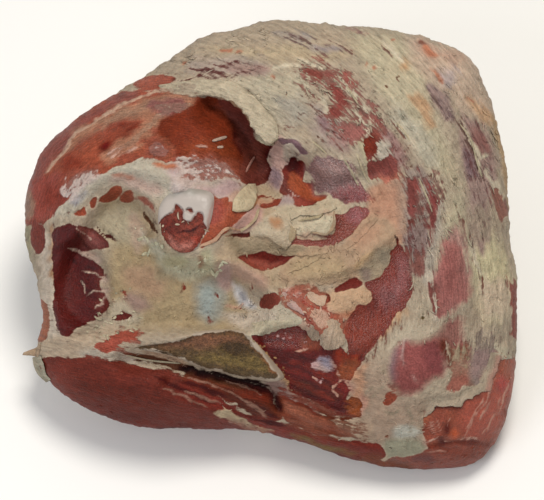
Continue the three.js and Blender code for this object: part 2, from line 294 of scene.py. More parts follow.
# Ridges and creases: width, height, path.
RIDGES = [
    (8, 7, "-176,20 -158,38 -138,55 -115,61 -92,57 -72,48"),
    (8, 6, "-168,14 -172,-20 -170,-56 -160,-76 -138,-83"),
    (9, 6, "-78,130 -45,124 -20,108 -5,90 8,84 30,78"),
    (16, -28, "-44,110 -30,101 -18,84 -10,66 -8,52"),
    (9, -10, "18,66 26,54 34,42"),
    (7.5, -10, "-118,-93 -85,-94 -60,-102 -25,-109 -2,-116 6,-130"),
    (6.5, -6, "-80,-110 -40,-125 0,-139 50,-151 98,-159"),
    (8, -5, "104,96 118,50 124,10 118,-30 98,-62 76,-92"),
    (8, -4, "120,110 152,40 166,-20 166,-70"),
    (6.5, -4, "-180,50 -168,73 -150,88 -126,104 -100,117 -80,127"),
    (6.5, -4, "-168,42 -140,66 -112,78 -92,100 -74,112"),
    (6.5, -4, "-22,-11 0,-14 18,-9"),
]
# Floors: height, softness of the step, outline.
FLOORS = [
    (-17, 15, "-152,8 -122,40 -98,30 -90,-6 -58,-18 -22,-25 -2,-48 -15,-66 -65,-68 -112,-70 "
     "-150,-66 -172,-40"),
    (-8, 8, "-172,-4 -150,2 -136,-10 -128,-40 -136,-60 -160,-72 -173,-40"),
    (-7, 14, "8,82 50,52 92,64 106,20 110,-20 94,-60 68,-72 36,-52 0,-30 -30,0 -24,40 -5,52"),
    (-6, 6, "-8,-72 30,-67 50,-84 71,-98 70,-132 40,-132 14,-114"),
    (-5, 7, "121,-127 150,-119 178,-92 194,-92 191,-130 170,-166 128,-160"),
]
# The outlines of the two sawn bones.
ILIUM_OUTLINE = ("-89,12 -88,32 -78,42 -60,44 -47,40 -47,26 -53,8 -61,-4 -72,-7 -83,0")
SYMPHYSIS_OUTLINE = ("-122,-81 -98,-79 -74,-75 -58,-70 -22,-70 -11,-80 1,-93 10,-106 2,-109 "
    "-14,-107 -34,-103 -55,-98 -76,-90 -98,-85")
# Fine creases and ridges that the solids are too coarse for.
FINE_RIDGES = [
    (2.2, -2.2, "-186,64 -170,82 -140,99 -112,117 -74,124 -36,121"),
    (1.8, -1.8, "-66,-97 -45,-102 -25,-107 -8,-111 0,-116 6,-131"),
    (2.0, -2.0, "-70,-122 -45,-131 -25,-139 0,-148"),
    (2.0, -1.6, "-112,-98 -92,-108 -74,-118 -46,-127 -10,-138 30,-151 80,-159"),
    (1.8, -1.8, "10,-133 30,-143 60,-153 84,-158"),
    (1.5, -1.5, "58,66 64,58 70,47"),
    (2.5, 2.0, "-52,54 -30,50 -14,44 -4,34"),
    (2.0, -2.5, "-101,26 -96,18 -90,8"),
    (1.8, -2.0, "-141,14 -134,10 -125,3"),
    (1.6, -2.4, "123,-161 138,-158 156,-157 174,-160"),
    (3.0, 1.6, "126,-156 142,-153 158,-152 174,-154"),
    (3.5, 2.4, "12,-26 40,-24 64,-17 82,-3 96,6"),
    (2.2, -1.8, "24,-12 44,-10 62,0 76,14"),
    (3.0, 1.8, "50,-6 64,4 78,20"),
    (1.6, -1.6, "106,6 110,24 108,44"),
]


# The relief fades towards the rim as 1 - share^RIM_FADE.
RIM_FADE = 10


def polar_reach(curve, angle):
    """How far a closed curve about the origin reaches in a direction, read between its points."""
    turn = np.arctan2(curve[:, 1], curve[:, 0])
    order = turn.argsort()
    return np.interp(angle, turn[order], np.hypot(*curve[order].T), period=2 * math.pi)


def outline_radius(angle):
    """The rim's distance from the middle in a direction."""
    return polar_reach(smooth_curve(OUTLINE, True, 24), angle)


def dome(share, flatness, shoulder):
    """(1 - share^flatness)^(1 / shoulder): 1 in the middle, 0 at the rim, where it drops steeply."""
    return np.maximum(1 - share**flatness, 0) ** (1 / shoulder)


def front_dome(share):
    """The boned side's height at a share of the way from the middle to the rim."""
    return FACE_RISE * dome(share, 2.5, 2.1)


def back_dome(share):
    """The outer side's depth at a share of the way from the middle to the rim."""
    return -BACK_DEPTH * dome(share, 2.3, 2.0)


def bell(x, y, path, width, height):
    """A ridge: its height falls off beside the path as exp(-(distance / width)^2)."""
    line = smooth_curve(path, False, 5)
    total = np.zeros(len(x))
    reach = 3 * width
    near = (x > line[:, 0].min() - reach) & (x < line[:, 0].max() + reach)
    near &= (y > line[:, 1].min() - reach) & (y < line[:, 1].max() + reach)
    away, _ = distance_to(x[near], y[near], line)
    total[near] = height * np.exp(-((away / width) ** 2))
    return total


def relief(x, y):
    """Mounds h exp(-(a^2 + b^2)^1.4) with a, b over the half sizes, ridges, and floors h
    smoothstep(1/2 + inside / soft), in mm above the dome."""
    total = np.zeros(len(x))
    for (mx, my), (hx, hy), turn, height in MOUNDS:
        c, s = math.cos(math.radians(turn)), math.sin(math.radians(turn))
        along = ((x - mx) * c + (y - my) * s) / hx
        across = ((y - my) * c - (x - mx) * s) / hy
        total += height * np.exp(-((along**2 + across**2) ** 1.4))
    for width, height, path in RIDGES + FINE_RIDGES:
        total += bell(x, y, path, width, height)
    for height, soft, outline in FLOORS:
        total += height * smoothstep(0.5 + inside_distance(x, y, smooth_curve(outline, True, 5)) / soft)
    return total


def face_height(x, y):
    """The boned side's height over the face plane at any of its points."""
    x, y = np.atleast_1d(x).astype(float), np.atleast_1d(y).astype(float)
    share = np.clip(np.hypot(x, y) / outline_radius(np.arctan2(y, x)), 0, 1)
    return front_dome(share) + relief(x, y) * (1 - share**RIM_FADE)


print("the cleft's floor is at", round(face_height(-18, 84)[0], 1), "mm over the face plane")

# %% [markdown]
# The tissues. Raw meat is two things beside each other: red lean and pale fat or membrane, with
# a border that is crisp in some places and frayed into fibres in others. So we paint it in
# patches, back to front, as a painter would. Each patch has a smooth outline of a few points or
# a path with a width. It moves one number, the edge: millimetres into the fat, or minus the
# millimetres into the lean. The material later draws the border where that number, with a fibrous
# noise added, crosses zero, so it stays sharp on a mesh that is coarser than the fibres.

# %% Patches of tissue
BODY = []
ILIUM = []
SYMPHYSIS = []
# A patch with a border is coloured this far beyond its line, in mm, so that frayed bits match it.
BORDER_REACH = 2.5


def patch(
    kind, colour, points, onto=BODY, width=0.0, fray=0.6, blur=0.6, wet=0.0, soft=3.0, reach=None, much=0.5
):
    """Lays a patch on a painting. It covers a closed outline, or a path to width / 2 beside it.
    fray and blur are the border's, in mm, and soft is half the width over which colours mix. wet
    runs from 0 to 1, reach is how far the colour goes on beyond the line, and much is how worn
    fat becomes."""
    line = smooth_curve(points, width == 0, 5)
    if reach is None:
        reach = BORDER_REACH if kind in ("fat", "lean", "film") else 0.0
    onto.append(
        dict(kind=kind, colour=srgb(colour), line=line, width=width, fray=fray, blur=blur, wet=wet,
             soft=soft, reach=reach, much=much)
    )


def fat(colour, points, **more):
    """Fat, tendon or membrane thick enough to hide what is under it."""
    patch("fat", colour, points, **more)


def lean(colour, points, **more):
    """Bare muscle, or a gap between tissues."""
    patch("lean", colour, points, **more)


def film(colour, points, **more):
    """A thin torn film of membrane: lean of this colour shows between its fibres."""
    patch("film", colour, points, **more)


def fat_tint(colour, points, **more):
    """A stain in the fat, which leaves the border where it is."""
    patch("fat tint", colour, points, **more)


def lean_tint(colour, points, **more):
    """A stain in the lean, which leaves the border where it is."""
    patch("lean tint", colour, points, **more)


def worn(colour, points, **more):
    """Fat that is worn thin: lean of this colour shows through it in windows along the fibres."""
    patch("worn", colour, points, **more)


print("kinds of patch: fat, lean, film, two stains and worn fat")

# %% [markdown]
# The cover over the top and the right is a sheet of fat and silvery membrane. Its fibres run
# round the leg. It is yellowest along its middle, pink at the far corner, and worn thin over
# the muscles, which show through in mauve and red.

# %% The fat cover, top and right
fat_tint("#a09079", "-78,150 -60,162 -30,172 10,178 45,175 64,162 20,157 -30,154 -62,146", soft=8)
fat_tint("#a79678", "-50,158 -10,158 30,162 62,152 20,147 -20,150", soft=6)
fat_tint("#a69c84", "-30,130 0,138 30,132 24,112 8,98 -6,104 -22,118", soft=6)
fat_tint("#989181", "4,116 20,118 30,106 22,96 8,102", soft=5)
fat_tint("#aba184", "66,166 100,168 116,148 128,118 140,88 152,50 154,14 140,10 126,64 104,100 "
    "84,126 72,146", soft=10)
fat_tint("#aaa38d", "96,112 112,102 126,84 134,64 122,66 108,84 96,98", soft=6)
fat_tint("#b09a84", "112,166 140,158 160,150 168,132 178,112 182,96 168,98 152,104 146,118 134,126 "
    "122,140 112,152", soft=7)
fat_tint("#b0927c", "118,163 136,158 152,150 150,144 134,148 120,152", soft=4)
fat_tint("#a89892", "138,142 147,142 149,130 141,128", soft=4)
fat_tint("#b2704f", "123,159 126,154 134,152", width=3.5, soft=2)
fat_tint("#ad8a62", "104,149 110,146 109,140 104,141")
fat_tint("#b08c66", "112,119 122,112 127,100 132,94", width=7, soft=4)
fat_tint("#b3906c", "154,120 164,114 174,108 178,98 170,98 160,106", soft=4)
fat_tint("#a1845e", "176,106 183,86 188,60 190,30", width=5)
fat_tint("#b6ac86", "162,20 176,10 190,-20 190,-50 176,-62 164,-40 160,-8", soft=8)
fat_tint("#b7a58b", "168,-30 186,-30 190,-56 172,-58", soft=6)
fat_tint("#9a8b7d", "-64,147 -40,150 -16,150 -2,144 -4,138 -20,135 -40,136 -62,135 -70,140", soft=4)
fat_tint("#90776c", "-34,142 -14,144 0,141 -6,137 -24,135")
fat_tint("#8b817a", "2,170 16,168 32,163", width=6, soft=4)
fat_tint("#8a7f7c", "30,160 44,157 58,157", width=4)
fat_tint("#9a8b7e", "36,112 52,100 64,84 60,74 44,78 34,92", soft=6)
fat_tint("#866a6a", "38,104 44,100 48,92 43,90 38,96")
fat_tint("#92746c", "46,92 60,90 76,84 74,74 60,76 48,80", soft=5)
fat_tint("#8f6f68", "84,92 96,92 104,84 110,70 104,60 92,70 86,80", soft=5)
fat_tint("#8c766f", "126,128 133,126 140,121 145,115 147,106 147,99 141,98 134,104 130,112")
fat_tint("#92796f", "150,105 158,102 166,99 173,90 178,78 180,62 177,48 176,30 174,8 168,-8 162,4 "
    "158,26 156,44 152,62 151,88", soft=4)
fat_tint("#865a52", "160,96 168,92 173,82 172,72 165,76 160,86", soft=4)
fat_tint("#7c6364", "155,76 161,70 164,56 158,52 154,62")
fat_tint("#93826f", "162,30 174,26 172,4 164,4", soft=5)
fat_tint("#7a4a38", "119,163 124,160", width=2.0, soft=1)
for spot in ("-40,156 -30,156", "-27,154.5 -22,155", "-71,146 -68,147", "0,135 4,133", "-11,99 "
        "-9,95", "128,142 133,137 138,130", "156,119 162,113", "96,163 99,164", "75,145 77,142",
        "82,143 85,141"):
    fat_tint("#a5684a", spot, width=1.8, soft=1)
worn("#84514c", "-66,146 -40,149 -10,148 2,142 -6,136 -30,135 -62,136", much=0.2, soft=4)
worn("#705354", "4,172 30,169 60,158 66,150 40,152 12,160", much=0.26, soft=5)
worn("#8a4e4a", "22,148 48,146 72,134 88,112 98,92 80,80 50,78 40,92 44,112 30,124 18,136", soft=8)
worn("#86504c", "78,96 96,96 108,78 112,56 100,54 84,66 76,82", much=0.4, soft=6)
worn("#6f5a5c", "124,130 140,124 150,110 148,96 136,98 126,114", much=0.3, soft=4)
worn("#74494a", "150,104 166,101 180,82 184,52 178,10 166,-6 160,30 152,70", much=0.34, soft=5)
worn("#7d4644", "106,60 134,58 140,34 134,0 126,-28 112,-24 106,4", much=0.42, soft=5)
worn("#8a5a4c", "84,-92 104,-78 110,-60 100,-56 84,-74 74,-92", much=0.3, soft=5)
worn("#8a4a3a", "140,-78 156,-78 166,-92 164,-112 146,-112 138,-98", much=0.42, soft=5)
worn("#6f5f58", "164,-68 178,-70 190,-84 180,-100 166,-92", much=0.42, soft=4)
worn("#7a5246", "-140,24 -100,34 -30,30 -10,-40 -20,-64 -120,-62 -134,-30", much=0.2, soft=8)
print(len(BODY), "patches so far")

# %% [markdown]
# Where the cover is torn, bare muscle shows in spots, with pale loose fibres about. Its creases are
# painted as dark lines of shade.

# %% Bare spots, creases and loose fibres of the cover
lean("#80433b", "27,140 31,141 36,140 42,137 41,133 37,132 33,135 29,137", fray=1.2, blur=1.5)
lean("#824d45", "33,151 38,149 42,145", width=3.4, fray=1.0, blur=1.4)
lean("#7d4640", "43,139 47,138 50,135 46,134", fray=1, blur=1.4)
lean("#7e3f39", "48,127 52,126.5 57,123 60,119 61,114 58,110 56,107 54,102 49,102 46,106 49,109 "
    "52,113 50,119", fray=1.3, blur=1.8)
lean("#8a4c45", "57,138 61,133 66,129", width=4, fray=1.2, blur=1.5)
lean("#8a5650", "57,96 62,97 67,94 73,97 77,91 73,86 67,83 61,87 57,91", fray=1.8, blur=3)
lean("#834a44", "71,107 78,103 85,99 90,94", width=5, fray=1.3, blur=2)
lean("#80483f", "80,91 86,92 90,86 86,80 81,83", fray=1.5, blur=2.4)
lean("#84645c", "60,174 68,171 76,168", width=1.8, fray=1.2, blur=2)
# Painted shade: dark lines along the creases of the cover.
for shaded_crease in ("-50,140 -43,138.5 -36,138", "-58,135 -46,135", "-41,144 -33,142", "-12,142 -2,140",
        "8,97 13,95.5 19,94", "88,160 92,155 98,147", "101,96 104,91 108,85", "111,79 114,76",
        "130,121 134,112 139,103 144,96", "137,92 143,83", "120,50 124,40 127,33", "129,56 134,48 "
        "137,41", "149,28 154,14 157,0 158,-14", "161,-8 165,-20 169,-36", "25,124 32,118 38,111",
        "22,119 29,117 31,115", "60,124 63,119", "66,116 70,110 76,103", "34,142 40,140", "22,106 "
        "26,103", "30,113 36,108 40,104", "168,62 172,51 176,41", "44,164 56,159 64,153", "12,166 "
        "24,164 36,160"):
    lean("#6d5a50", shaded_crease, width=1.1, fray=0.4, blur=0.9, soft=1.5, reach=0.5)
# Painted shade along a deeper crease.
lean("#5e4640", "152,97 157,87 161,78 165,68 167,58 171,50", width=2.0, fray=0.5, blur=0.9)
for pale_fibre in ("153,97 160,82 165,70 169,57", "159,84 166,74 169,70", "169,70 174,73", "100,98 "
        "105,93 111,84", "118,54 122,44 128,32", "60,128 65,122 68,116", "72,112 78,104 83,97",
        "112,84 117,78", "40,118 44,110 48,104", "54,134 60,128 66,120", "66,108 74,98 78,88",
        "128,20 130,4 131,-8", "172,60 178,47 180,44", "180,50 186,39", "160,2 163,-10 168,-24",
        "90,164 98,154 106,146", "20,150 30,146 42,140", "2,140 14,144 24,144"):
    fat("#b8ad94", pale_fibre, width=1.5, fray=0.4, blur=0.8, soft=1.5, reach=0.8)
for dot in ((13, 122), (38, 86), (-30, 167), (113, 62), (101.5, 134.5), (92, 128), (127.5, 55)):
    lean("#5c4a38", [(dot[0] - 0.8, dot[1] + 0.4), (dot[0] + 0.8, dot[1] - 0.4)], width=2.0, fray=0.4,
        soft=1.5, reach=0.5)

# %% [markdown]
# Inside the cover lies the boned-out hollow: a deep cleft under the lifted fat, a dark red
# pocket, ledges of cream fat, and a long wet muscle that shines.

# %% The inner hollow
fat_tint("#9f8a6d", "-34,40 0,32 40,34 60,10 20,-34 -30,-30 -60,-20 -40,0", soft=8)
fat("#ab8a7e", "0,84 8,84 11,78 13,71 16,68 13,62 9,61 8,54 5,48 0,46 -2,52 1,58 2,66 1,74")
fat_tint("#877074", "1,62 6,60 8,52 4,44 -1,48")
lean("#74595f", "5,84 12,86 20,84 26,79.5 30,75 24,72 21,76 15,81 9,80", fray=0.5, wet=0.3)
fat("#aea28f", "11,80 16,82 20,79 22.5,75 20.5,70 17,69 13,71 12,76", fray=0.8)
lean("#6b2b26", "14,63 18,60 22,67 27,66.5 29,62 28,57 26,51 29,49.5 33,50 35,46 35.5,41 44,38.5 "
    "45,36 37,33.5 34,30.5 24,30 19,31 12,38 6,44 9,52 8.5,60", fray=0.5)
# Painted shade: the deep end of the crease in the pocket is painted near black.
lean("#3f120f", "15,69.5 20,69.5 22,65 21,61.5 17.5,60 14.5,62 15.5,66", fray=0.4)
lean_tint("#95482d", "15,57 20,55.5 26,50 33,44 38,39 45,38 45,35.5 36,34 28,36 23,39 17,43 14,49",
    soft=1.6)
lean_tint("#6d3e39", "6,46 9,55 13,52 14,45 18,40 12,38", soft=2)
lean_tint("#8a3f33", "17,40 24,38 34,34 33,30 24,30 18,32", soft=2.5)
fat("#93807a", "5,31 9,37 14,39 18,36 17,31 10,29.5", fray=0.8, blur=1.2)
fat("#a38074", "10,48 14,44 20,39.5 24,39", width=1.3, fray=0.4)
lean("#7d5f5d", "30,60 31,66 38,71 45,71 55,69 62,67 68,59 71,50 76,44 80,36 72,34 60,32 51,34 "
    "49,39 44,41 37,42 35.5,47 33,53", fray=0.9, blur=1.5, wet=0.9)
lean_tint("#7b4143", "48,40 58,46 70,48 80,38 78,32 60,32 50,34", soft=5)
lean_tint("#57201f", "52,34 56,37 61,37 58,33", soft=2)
lean_tint("#8a6b66", "36,62 48,66 58,60 50,52 38,50", soft=6)
fat("#a39a7c", "70,82 74,80 76,70 77,60 80,50 77,47 73,56 71,66", fray=1.0, blur=1.0)
fat("#a99b86", "57,71 62,62.5 67,55 70.5,47", width=1.5, fray=0.3)
fat("#a0937e", "66,80 69,72 72,62 78,50 84,44", width=1.4, fray=0.4)
lean("#6a2a20", "75,85 82.5,85 84,78 80.5,69 77,67 75,74", fray=0.5)
lean("#7d3f39", "79,69 84,66 90,71 97,70 101,62 102,53 93,49 86,54 80,51 77.5,58", fray=1.0, wet=0.3)
fat("#aaa08e", "84,80 90,81 95,77 94,71 88,68.5 86,73", fray=1.0)
fat("#aa8166", "80,44 85,46 93,49 103,53 108,46 109.5,30 108,14 104,2 98,10 93,18 90,24 85,19 80,20 "
    "77,26 79,34", fray=0.9, blur=1.5)
fat_tint("#a1836d", "96,60 104,58 109,36 108,12 103,10 102,30 96,44", soft=4)
worn("#a4604c", "84,50 104,54 110,30 104,6 92,18 80,26", much=0.26, soft=5)
fat_tint("#a97d62", "80,36 92,42 100,48 98,30 86,26", soft=5)
fat("#a99a7e", "4,28 10,30 20,29 31,30.5 38,32 46,37 52,37 60,31 58,27 51,26 50.5,18 50,11 44,8 "
    "36,9 28,11 18,13 8,16")
fat_tint("#a4876e", "40,24 49,27 50,12 43,9 38,14")
lean("#54392c", "33,21 38,22.3 42.5,26", width=1.3, fray=0.3)
lean("#7a382d", "50,25 55,24 61,25.5 66,30.5 74,31 78,27 76,21 70,15.5 66,10 60,4 52,-2 46,-5.5 "
    "43.5,-6 41,-2 30,-1 18,0 14,1 19,4 20.5,9 22,5 30,4 40,3.5 45,4 38,7 29,10 36,9 44,8 50,10.5",
    fray=0.4, wet=0.7)
lean_tint("#87494a", "60,24 68,30 76,27 70,17 63,18", soft=4)
fat("#a48a72", "25,8 30,8 32,4.5 28,3.5")
fat("#a48a72", "40,4.5 45,4", width=1.6, fray=0.4)
fat_tint("#a98468", "2,20 9,20 11,14 5,12", soft=4)
fat_tint("#ab9c82", "-17,14 -8,20 6,25 14,19 18,8 12,-4 4,0 -3,6 -16,7", soft=1.5)
fat_tint("#a2744c", "0,21 7,20 9,15 3,14")
fat_tint("#b2a68a", "20,14 34,21 49,24 50,14 45,8 33,11 22,8", soft=1.5)
fat_tint("#8b7b60", "-34,6 -16,5 6,0 30,-3 28,-8 0,-6 -26,-8", soft=4)
lean("#4f241f", "-24,9.5 -16,9.5 -16,6 -26,7 -37,7 -34,8.5", fray=0.4)
lean("#5a2c25", "5.5,-4 10.5,-3.6", width=1.6, fray=0.4)
lean("#612522", "-27,-9.5 -18,-8 -8,-6.5 0,-6 4,-8 10,-9 16,-8 20.5,-8.5 14,-12 10,-16 4,-19 -3,-20 "
    "-12,-19 -20,-15", fray=0.35)
lean_tint("#823f33", "-26,-11 -14,-11 0,-14 8,-15 2,-20 -10,-20 -22,-16", soft=2)
lean_tint("#90604f", "-14,-20.5 -4,-21", width=2, soft=1.5)
lean("#70362d", "-9,-46 -7,-41 -1,-38 4,-39 6.5,-43 5,-48 1,-51 -5,-51.5 -9,-49.5", fray=0.3)
fat("#9f8468", "50,0 56,0 62,6 68,13 75,21 84,20 92,18 98,9 96,0 90,-8 84,-10 80,-16 74,-22 70,-27 "
    "64,-27 54,-31 46,-30 30,-30 14,-30 10,-22 22,-9 36,-4", fray=0.5)
fat_tint("#a08a68", "14,-14 34,-8 54,-12 60,-22 40,-28 16,-26", soft=8)
fat_tint("#b99a70", "66,-20 74,-12 82,-6", width=5)
fat_tint("#a47f63", "62,4 74,16 88,16 84,4 70,-2", soft=6)
fat("#918168", "73,-21 80,-15 84,-8 92,-3 97,-8 94,-18 88,-26 80,-28 74,-27", fray=0.7)
fat_tint("#78665a", "73,-20 79,-21 80,-28 74,-28", soft=2.5)
fat_tint("#807460", "86,-8 94,-4 95,-14 88,-16")
# Painted shade: a near-black line in the gap between the fat sheet and the muscle.
lean("#2b1811", "98.5,8 101,3 98.5,-4 95,-10", width=2.6, fray=0.4)
lean("#702b23", "101,0 108,-6 112,-18 114,-30 112,-42 106,-50 100,-56 95,-65 88,-75 80,-84 73,-93 "
    "66,-92 61,-82 59,-66 63,-57 70,-49 78,-47 82,-42 78,-36 74,-31 80,-28 88,-25 94,-16 97,-8",
    fray=0.8, wet=0.6)
lean_tint("#7d3224", "58,-60 70,-50 80,-56 90,-60 76,-84 66,-90 60,-78", soft=6)
lean_tint("#7c4645", "86,-40 96,-30 106,-10 110,-22 104,-42 92,-50", soft=7)
lean("#672925", "50,-37 55,-32 62,-28 68,-26 71,-28 74,-31 70,-34 62,-36.5 56,-38.5", fray=0.4)
fat("#b0906f", "44,-41 50,-38.5 58,-37 64,-35 72,-35 78,-38 81,-42 78,-46 70,-48 66,-52 60,-55 "
    "50,-54 44,-50 43,-46", fray=0.4)
fat_tint("#b5714e", "46,-55 58,-57 68,-53", width=4, soft=2)
lean("#642c23", "44,-39 48,-41 47.5,-46 44,-46", fray=0.5)
film("#9a4a36", "8,-36 16,-34 30,-32 43,-42 44,-52 56,-58 60,-68 56,-76 44,-80 34,-74 24,-64 10,-50",
    fray=1.6, reach=1, blur=1.0)
for string in ("23,-43 30,-49 38,-52 47,-50", "20,-50 27,-57 33,-66", "46,-55 50,-62 49,-71",
        "30,-40 36,-45 42,-46", "34,-68 39,-73 41,-80"):
    lean("#93301f", string, width=2.2, fray=0.7, wet=0.8, reach=0.5)
fat("#a98274", "33,-54 39,-52 45,-55 46,-62 40,-66 34,-62", fray=0.5, wet=0.5)
fat_tint("#a98478", "10,-36 24,-36 28,-46 16,-46")
fat_tint("#b58e70", "30,-33 44,-44 42,-50 32,-40")
fat_tint("#b08a72", "24,-52 40,-50 56,-62 44,-78 28,-66", soft=6)
print(len(BODY), "patches so far")

# %% [markdown]
# Muscles under the cover at the right show through as mauve-red fields with soft borders.

# %% Muscles in the cover
fat_tint("#8c7c70", "108,60 120,62 130,52 128,30 126,4 126,-14 118,-28 111,-22 108,0 108,30")
fat_tint("#857069", "110,14 124,14 126,-6 120,-24 112,-20", soft=4)
lean("#7e4541", "110,52 114,53 119,48 119,43 115.5,42 116,33 116,27 113,23 110,24 109.5,32 110,42",
    fray=0.9, blur=1.5)
lean("#7e413e", "124,49 128,46 130,40 134,36 135,30 133,24 133,14 131,4 129.5,0 128,8 126,16 128,24 "
    "128,32 126,42", fray=0.8, blur=1.3)
lean("#6f433e", "121,31 124,28 127,25", width=3, fray=0.8, blur=1.2)
lean("#6d3a34", "110,20 113,17", width=4, fray=1, blur=1.2)
lean("#7f534c", "115,-9 121,-10 123,-18 120,-26 114,-22", fray=1.2, blur=2.5)
fat("#9b9080", "136,34 134,14 131,-4 126,-18 124,-30", width=6, fray=0.8, blur=2)
fat_tint("#a3957d", "126,60 140,40 136,10 126,-30 114,-52 126,-60 132,-30 140,20 150,50", soft=5)
lean("#96625c", "138,0 140,6 143,12 148,16 151,14 153,8 155,2 157,-6 159,-16 160,-28 159,-40 "
    "155,-46 150,-50 144,-54 136,-58 132.5,-56 131,-45 130,-34 131,-24 134,-16 137,-8", fray=0.9,
    blur=3.5)
lean_tint("#a07c72", "138,10 148,17 154,8 158,-4 160,-30 155,-24 152,-4 146,2")
lean_tint("#935a55", "140,-6 148,-4 150,-24 148,-42 138,-46 136,-24", soft=6)
fat("#a5967f", "153,4 156,-10 157,-22", width=1.2, fray=0.5, blur=1)
lean("#7a4842", "127,-28 128,-36 130,-48 131.5,-57", width=4, fray=0.4, blur=0.9)
fat("#b3a692", "127,-22 130,-40 132.7,-57", width=1.5, fray=0.3)
lean("#4a4020", "119.5,-59 123,-58", width=2.6, fray=0.4)
lean("#84493f", "187.5,-23 190,-28 193,-32 194,-24 196,-32 199,-45 199,-60 199,-74 194,-74 193,-58 "
    "191.5,-42 189.5,-32", fray=0.4)
lean("#86594c", "178,44 182,45 185,38 188,30 190,22 184,19 181,28 178,36")
lean("#864a48", "108,-77 116,-78 122,-77 130,-73 136,-67 144,-61 152,-58 153.5,-66 154,-77 149,-81 "
    "141,-80 139,-82 139.5,-90 140,-98 138,-103 131,-107 125,-111 120,-116 112,-119 104,-119 "
    "99,-113 95,-106 94,-96 97,-88 102,-81", fray=1.0, blur=5)
lean_tint("#8f6259", "130,-73 140,-64 152,-58 155,-76 142,-80", soft=5)
lean_tint("#7d6265", "94,-84 101,-82 100,-100 97,-112 91,-100", soft=4)
lean_tint("#7c4344", "124,-80 138,-82 139,-100 128,-104 122,-92", soft=5)
fat("#a58a84", "109,-75 105.5,-82 105,-90 108,-98", width=1.2, fray=0.4, blur=1.2)
fat("#a58078", "112,-103 116,-108", width=1.0, fray=0.3, blur=1)
lean("#5f3026", "138,-78 141,-88 143,-95", width=1.6, fray=0.4)
fat("#b3a592", "139.5,-77 142.5,-88 146,-94", width=1.2, fray=0.4)
fat_tint("#8f7d63", "142,-80 154,-80 162,-90 160,-106 148,-108 143,-96")
film("#93685a", "148,-96 154,-94 160,-98 160,-110 150,-108", fray=2.2, blur=1)
lean("#945c4f", "140,-114 146,-107 150,-104 156,-103 159,-108 154,-114 148,-118", fray=1.3, blur=1.2)
lean("#8f7772", "162,-83 168,-84 175,-83 181,-87 175,-96 168,-102 163,-107 161,-100 161.5,-92",
    fray=1.1, blur=3)
lean("#8a7a76", "165,-109 170,-113", width=3, fray=1, blur=1.2)
film("#82746a", "166,-70 174,-71 178,-80 172,-84 166,-80", fray=2.2, blur=0.8)
fat("#b3aa90", "180,-82 186,-86 189,-90", width=2)
lean("#7f5249", "93,-110 97,-112 101,-116 102,-121 99,-117 94,-114", fray=0.8, blur=2)
lean("#864231", "91,-127 92,-121 95,-117 98,-118 101,-122 98,-126 94,-128", fray=0.3)
fat_tint("#98826d", "72,-96 96,-100 104,-120 124,-126 120,-150 120,-166 92,-172 76,-150", soft=10)
fat_tint("#a89b84", "104,-66 124,-64 130,-68 112,-75 100,-82 92,-84", soft=4)
fat_tint("#a5a395", "98,-147 110,-145 120,-150 112,-155 100,-154")
fat_tint("#8a8770", "90,-157 112,-155 124,-160 118,-167 94,-170")
fat_tint("#b08464", "68,-98 76,-96 74,-112 76,-124 70,-126 66,-112")
fat_tint("#ac8a66", "98,-54 108,-52 100,-64 90,-74 86,-74", soft=3.5)
for arc in ("76,-134 79,-124 86,-116 93,-112", "73,-130 76,-120 82,-114", "91,-132 97,-135 103,-131",
        "108,-126 112,-140 111,-152", "89,-96 90,-104"):
    fat_tint("#857862", arc, width=1.6, soft=1)
lean("#7c4a35", "90,-152 94,-153", width=2.4, fray=0.8)
lean("#24160f", "95.5,-161 98,-161", width=2.2, fray=0.3)
print(len(BODY), "patches so far")

# %% [markdown]
# At the shank end the leg was cut through its muscles: a bare red corner with a torn fat edge.

# %% The shank end's cut
lean("#8b4633", "121,-138 124,-133 130,-129 136,-127 142,-126.5 148,-128 151,-125 153,-121 "
    "160,-120.5 167,-118 172,-116 175,-112 176,-105 178,-98 181,-91 184,-87.5 188,-89 190,-91 "
    "194,-90 200,-110 198,-130 190,-150 180,-165 165,-180 135,-186 95,-184 80,-176 84,-173 92,-171 "
    "100,-169 110,-168 118,-166 123,-164 126,-161 124,-158 121,-153 122,-148 123,-143", fray=0.4,
    wet=0.25)
lean_tint("#9a4a3a", "152,-124 172,-118 180,-106 192,-100 194,-116 186,-134 178,-150 166,-158 "
    "154,-152 150,-140", soft=6)
lean_tint("#96503c", "182,-88 194,-92 194,-108 186,-106")
lean_tint("#9c3f38", "184,-106 189,-110 186,-118 181,-114")
lean_tint("#7b4632", "182,-90 178,-102 174,-115", width=4, soft=2)
# Painted shadow: a dark band under the free edge of the torn fat flap.
lean_tint("#5c2a22", "125,-132 136,-129 149,-129.5 154,-123 168,-120", width=5, soft=2)
lean_tint("#a2583c", "120,-137 128,-135 130,-142 124,-144")
lean_tint("#8c4534", "128,-138 138,-134 142,-144 138,-154 128,-156 123,-150")
lean_tint("#b5502a", "143,-150 149,-149 150,-154 145,-156", soft=1.6)
lean_tint("#7a3728", "124,-163 140,-160 160,-161 176,-158 166,-180 120,-186 90,-180 104,-169", soft=4)
lean_tint("#6b241d", "152,-157 160,-155 167,-157 160,-161", soft=1.5)
lean_tint("#5c2623", "112,-171 130,-172", width=6)
for pale_line in ("144,-138 141,-142 141,-149", "190,-110 183,-130 172,-146", "170,-122 163,-136 "
        "156,-148", "128,-141 131,-148 134,-154", "180,-106 173,-124 164,-138", "126,-145 130,-153",
        "182,-92 179,-104 174,-119", "124,-167 130,-165 140,-165.5", "166,-130 160,-144 154,-154",
        "176,-124 168,-142", "184,-122 176,-140 168,-152", "132,-140 136,-150"):
    fat("#a87c6a", pale_line, width=0.9, fray=0.5, blur=1.0)
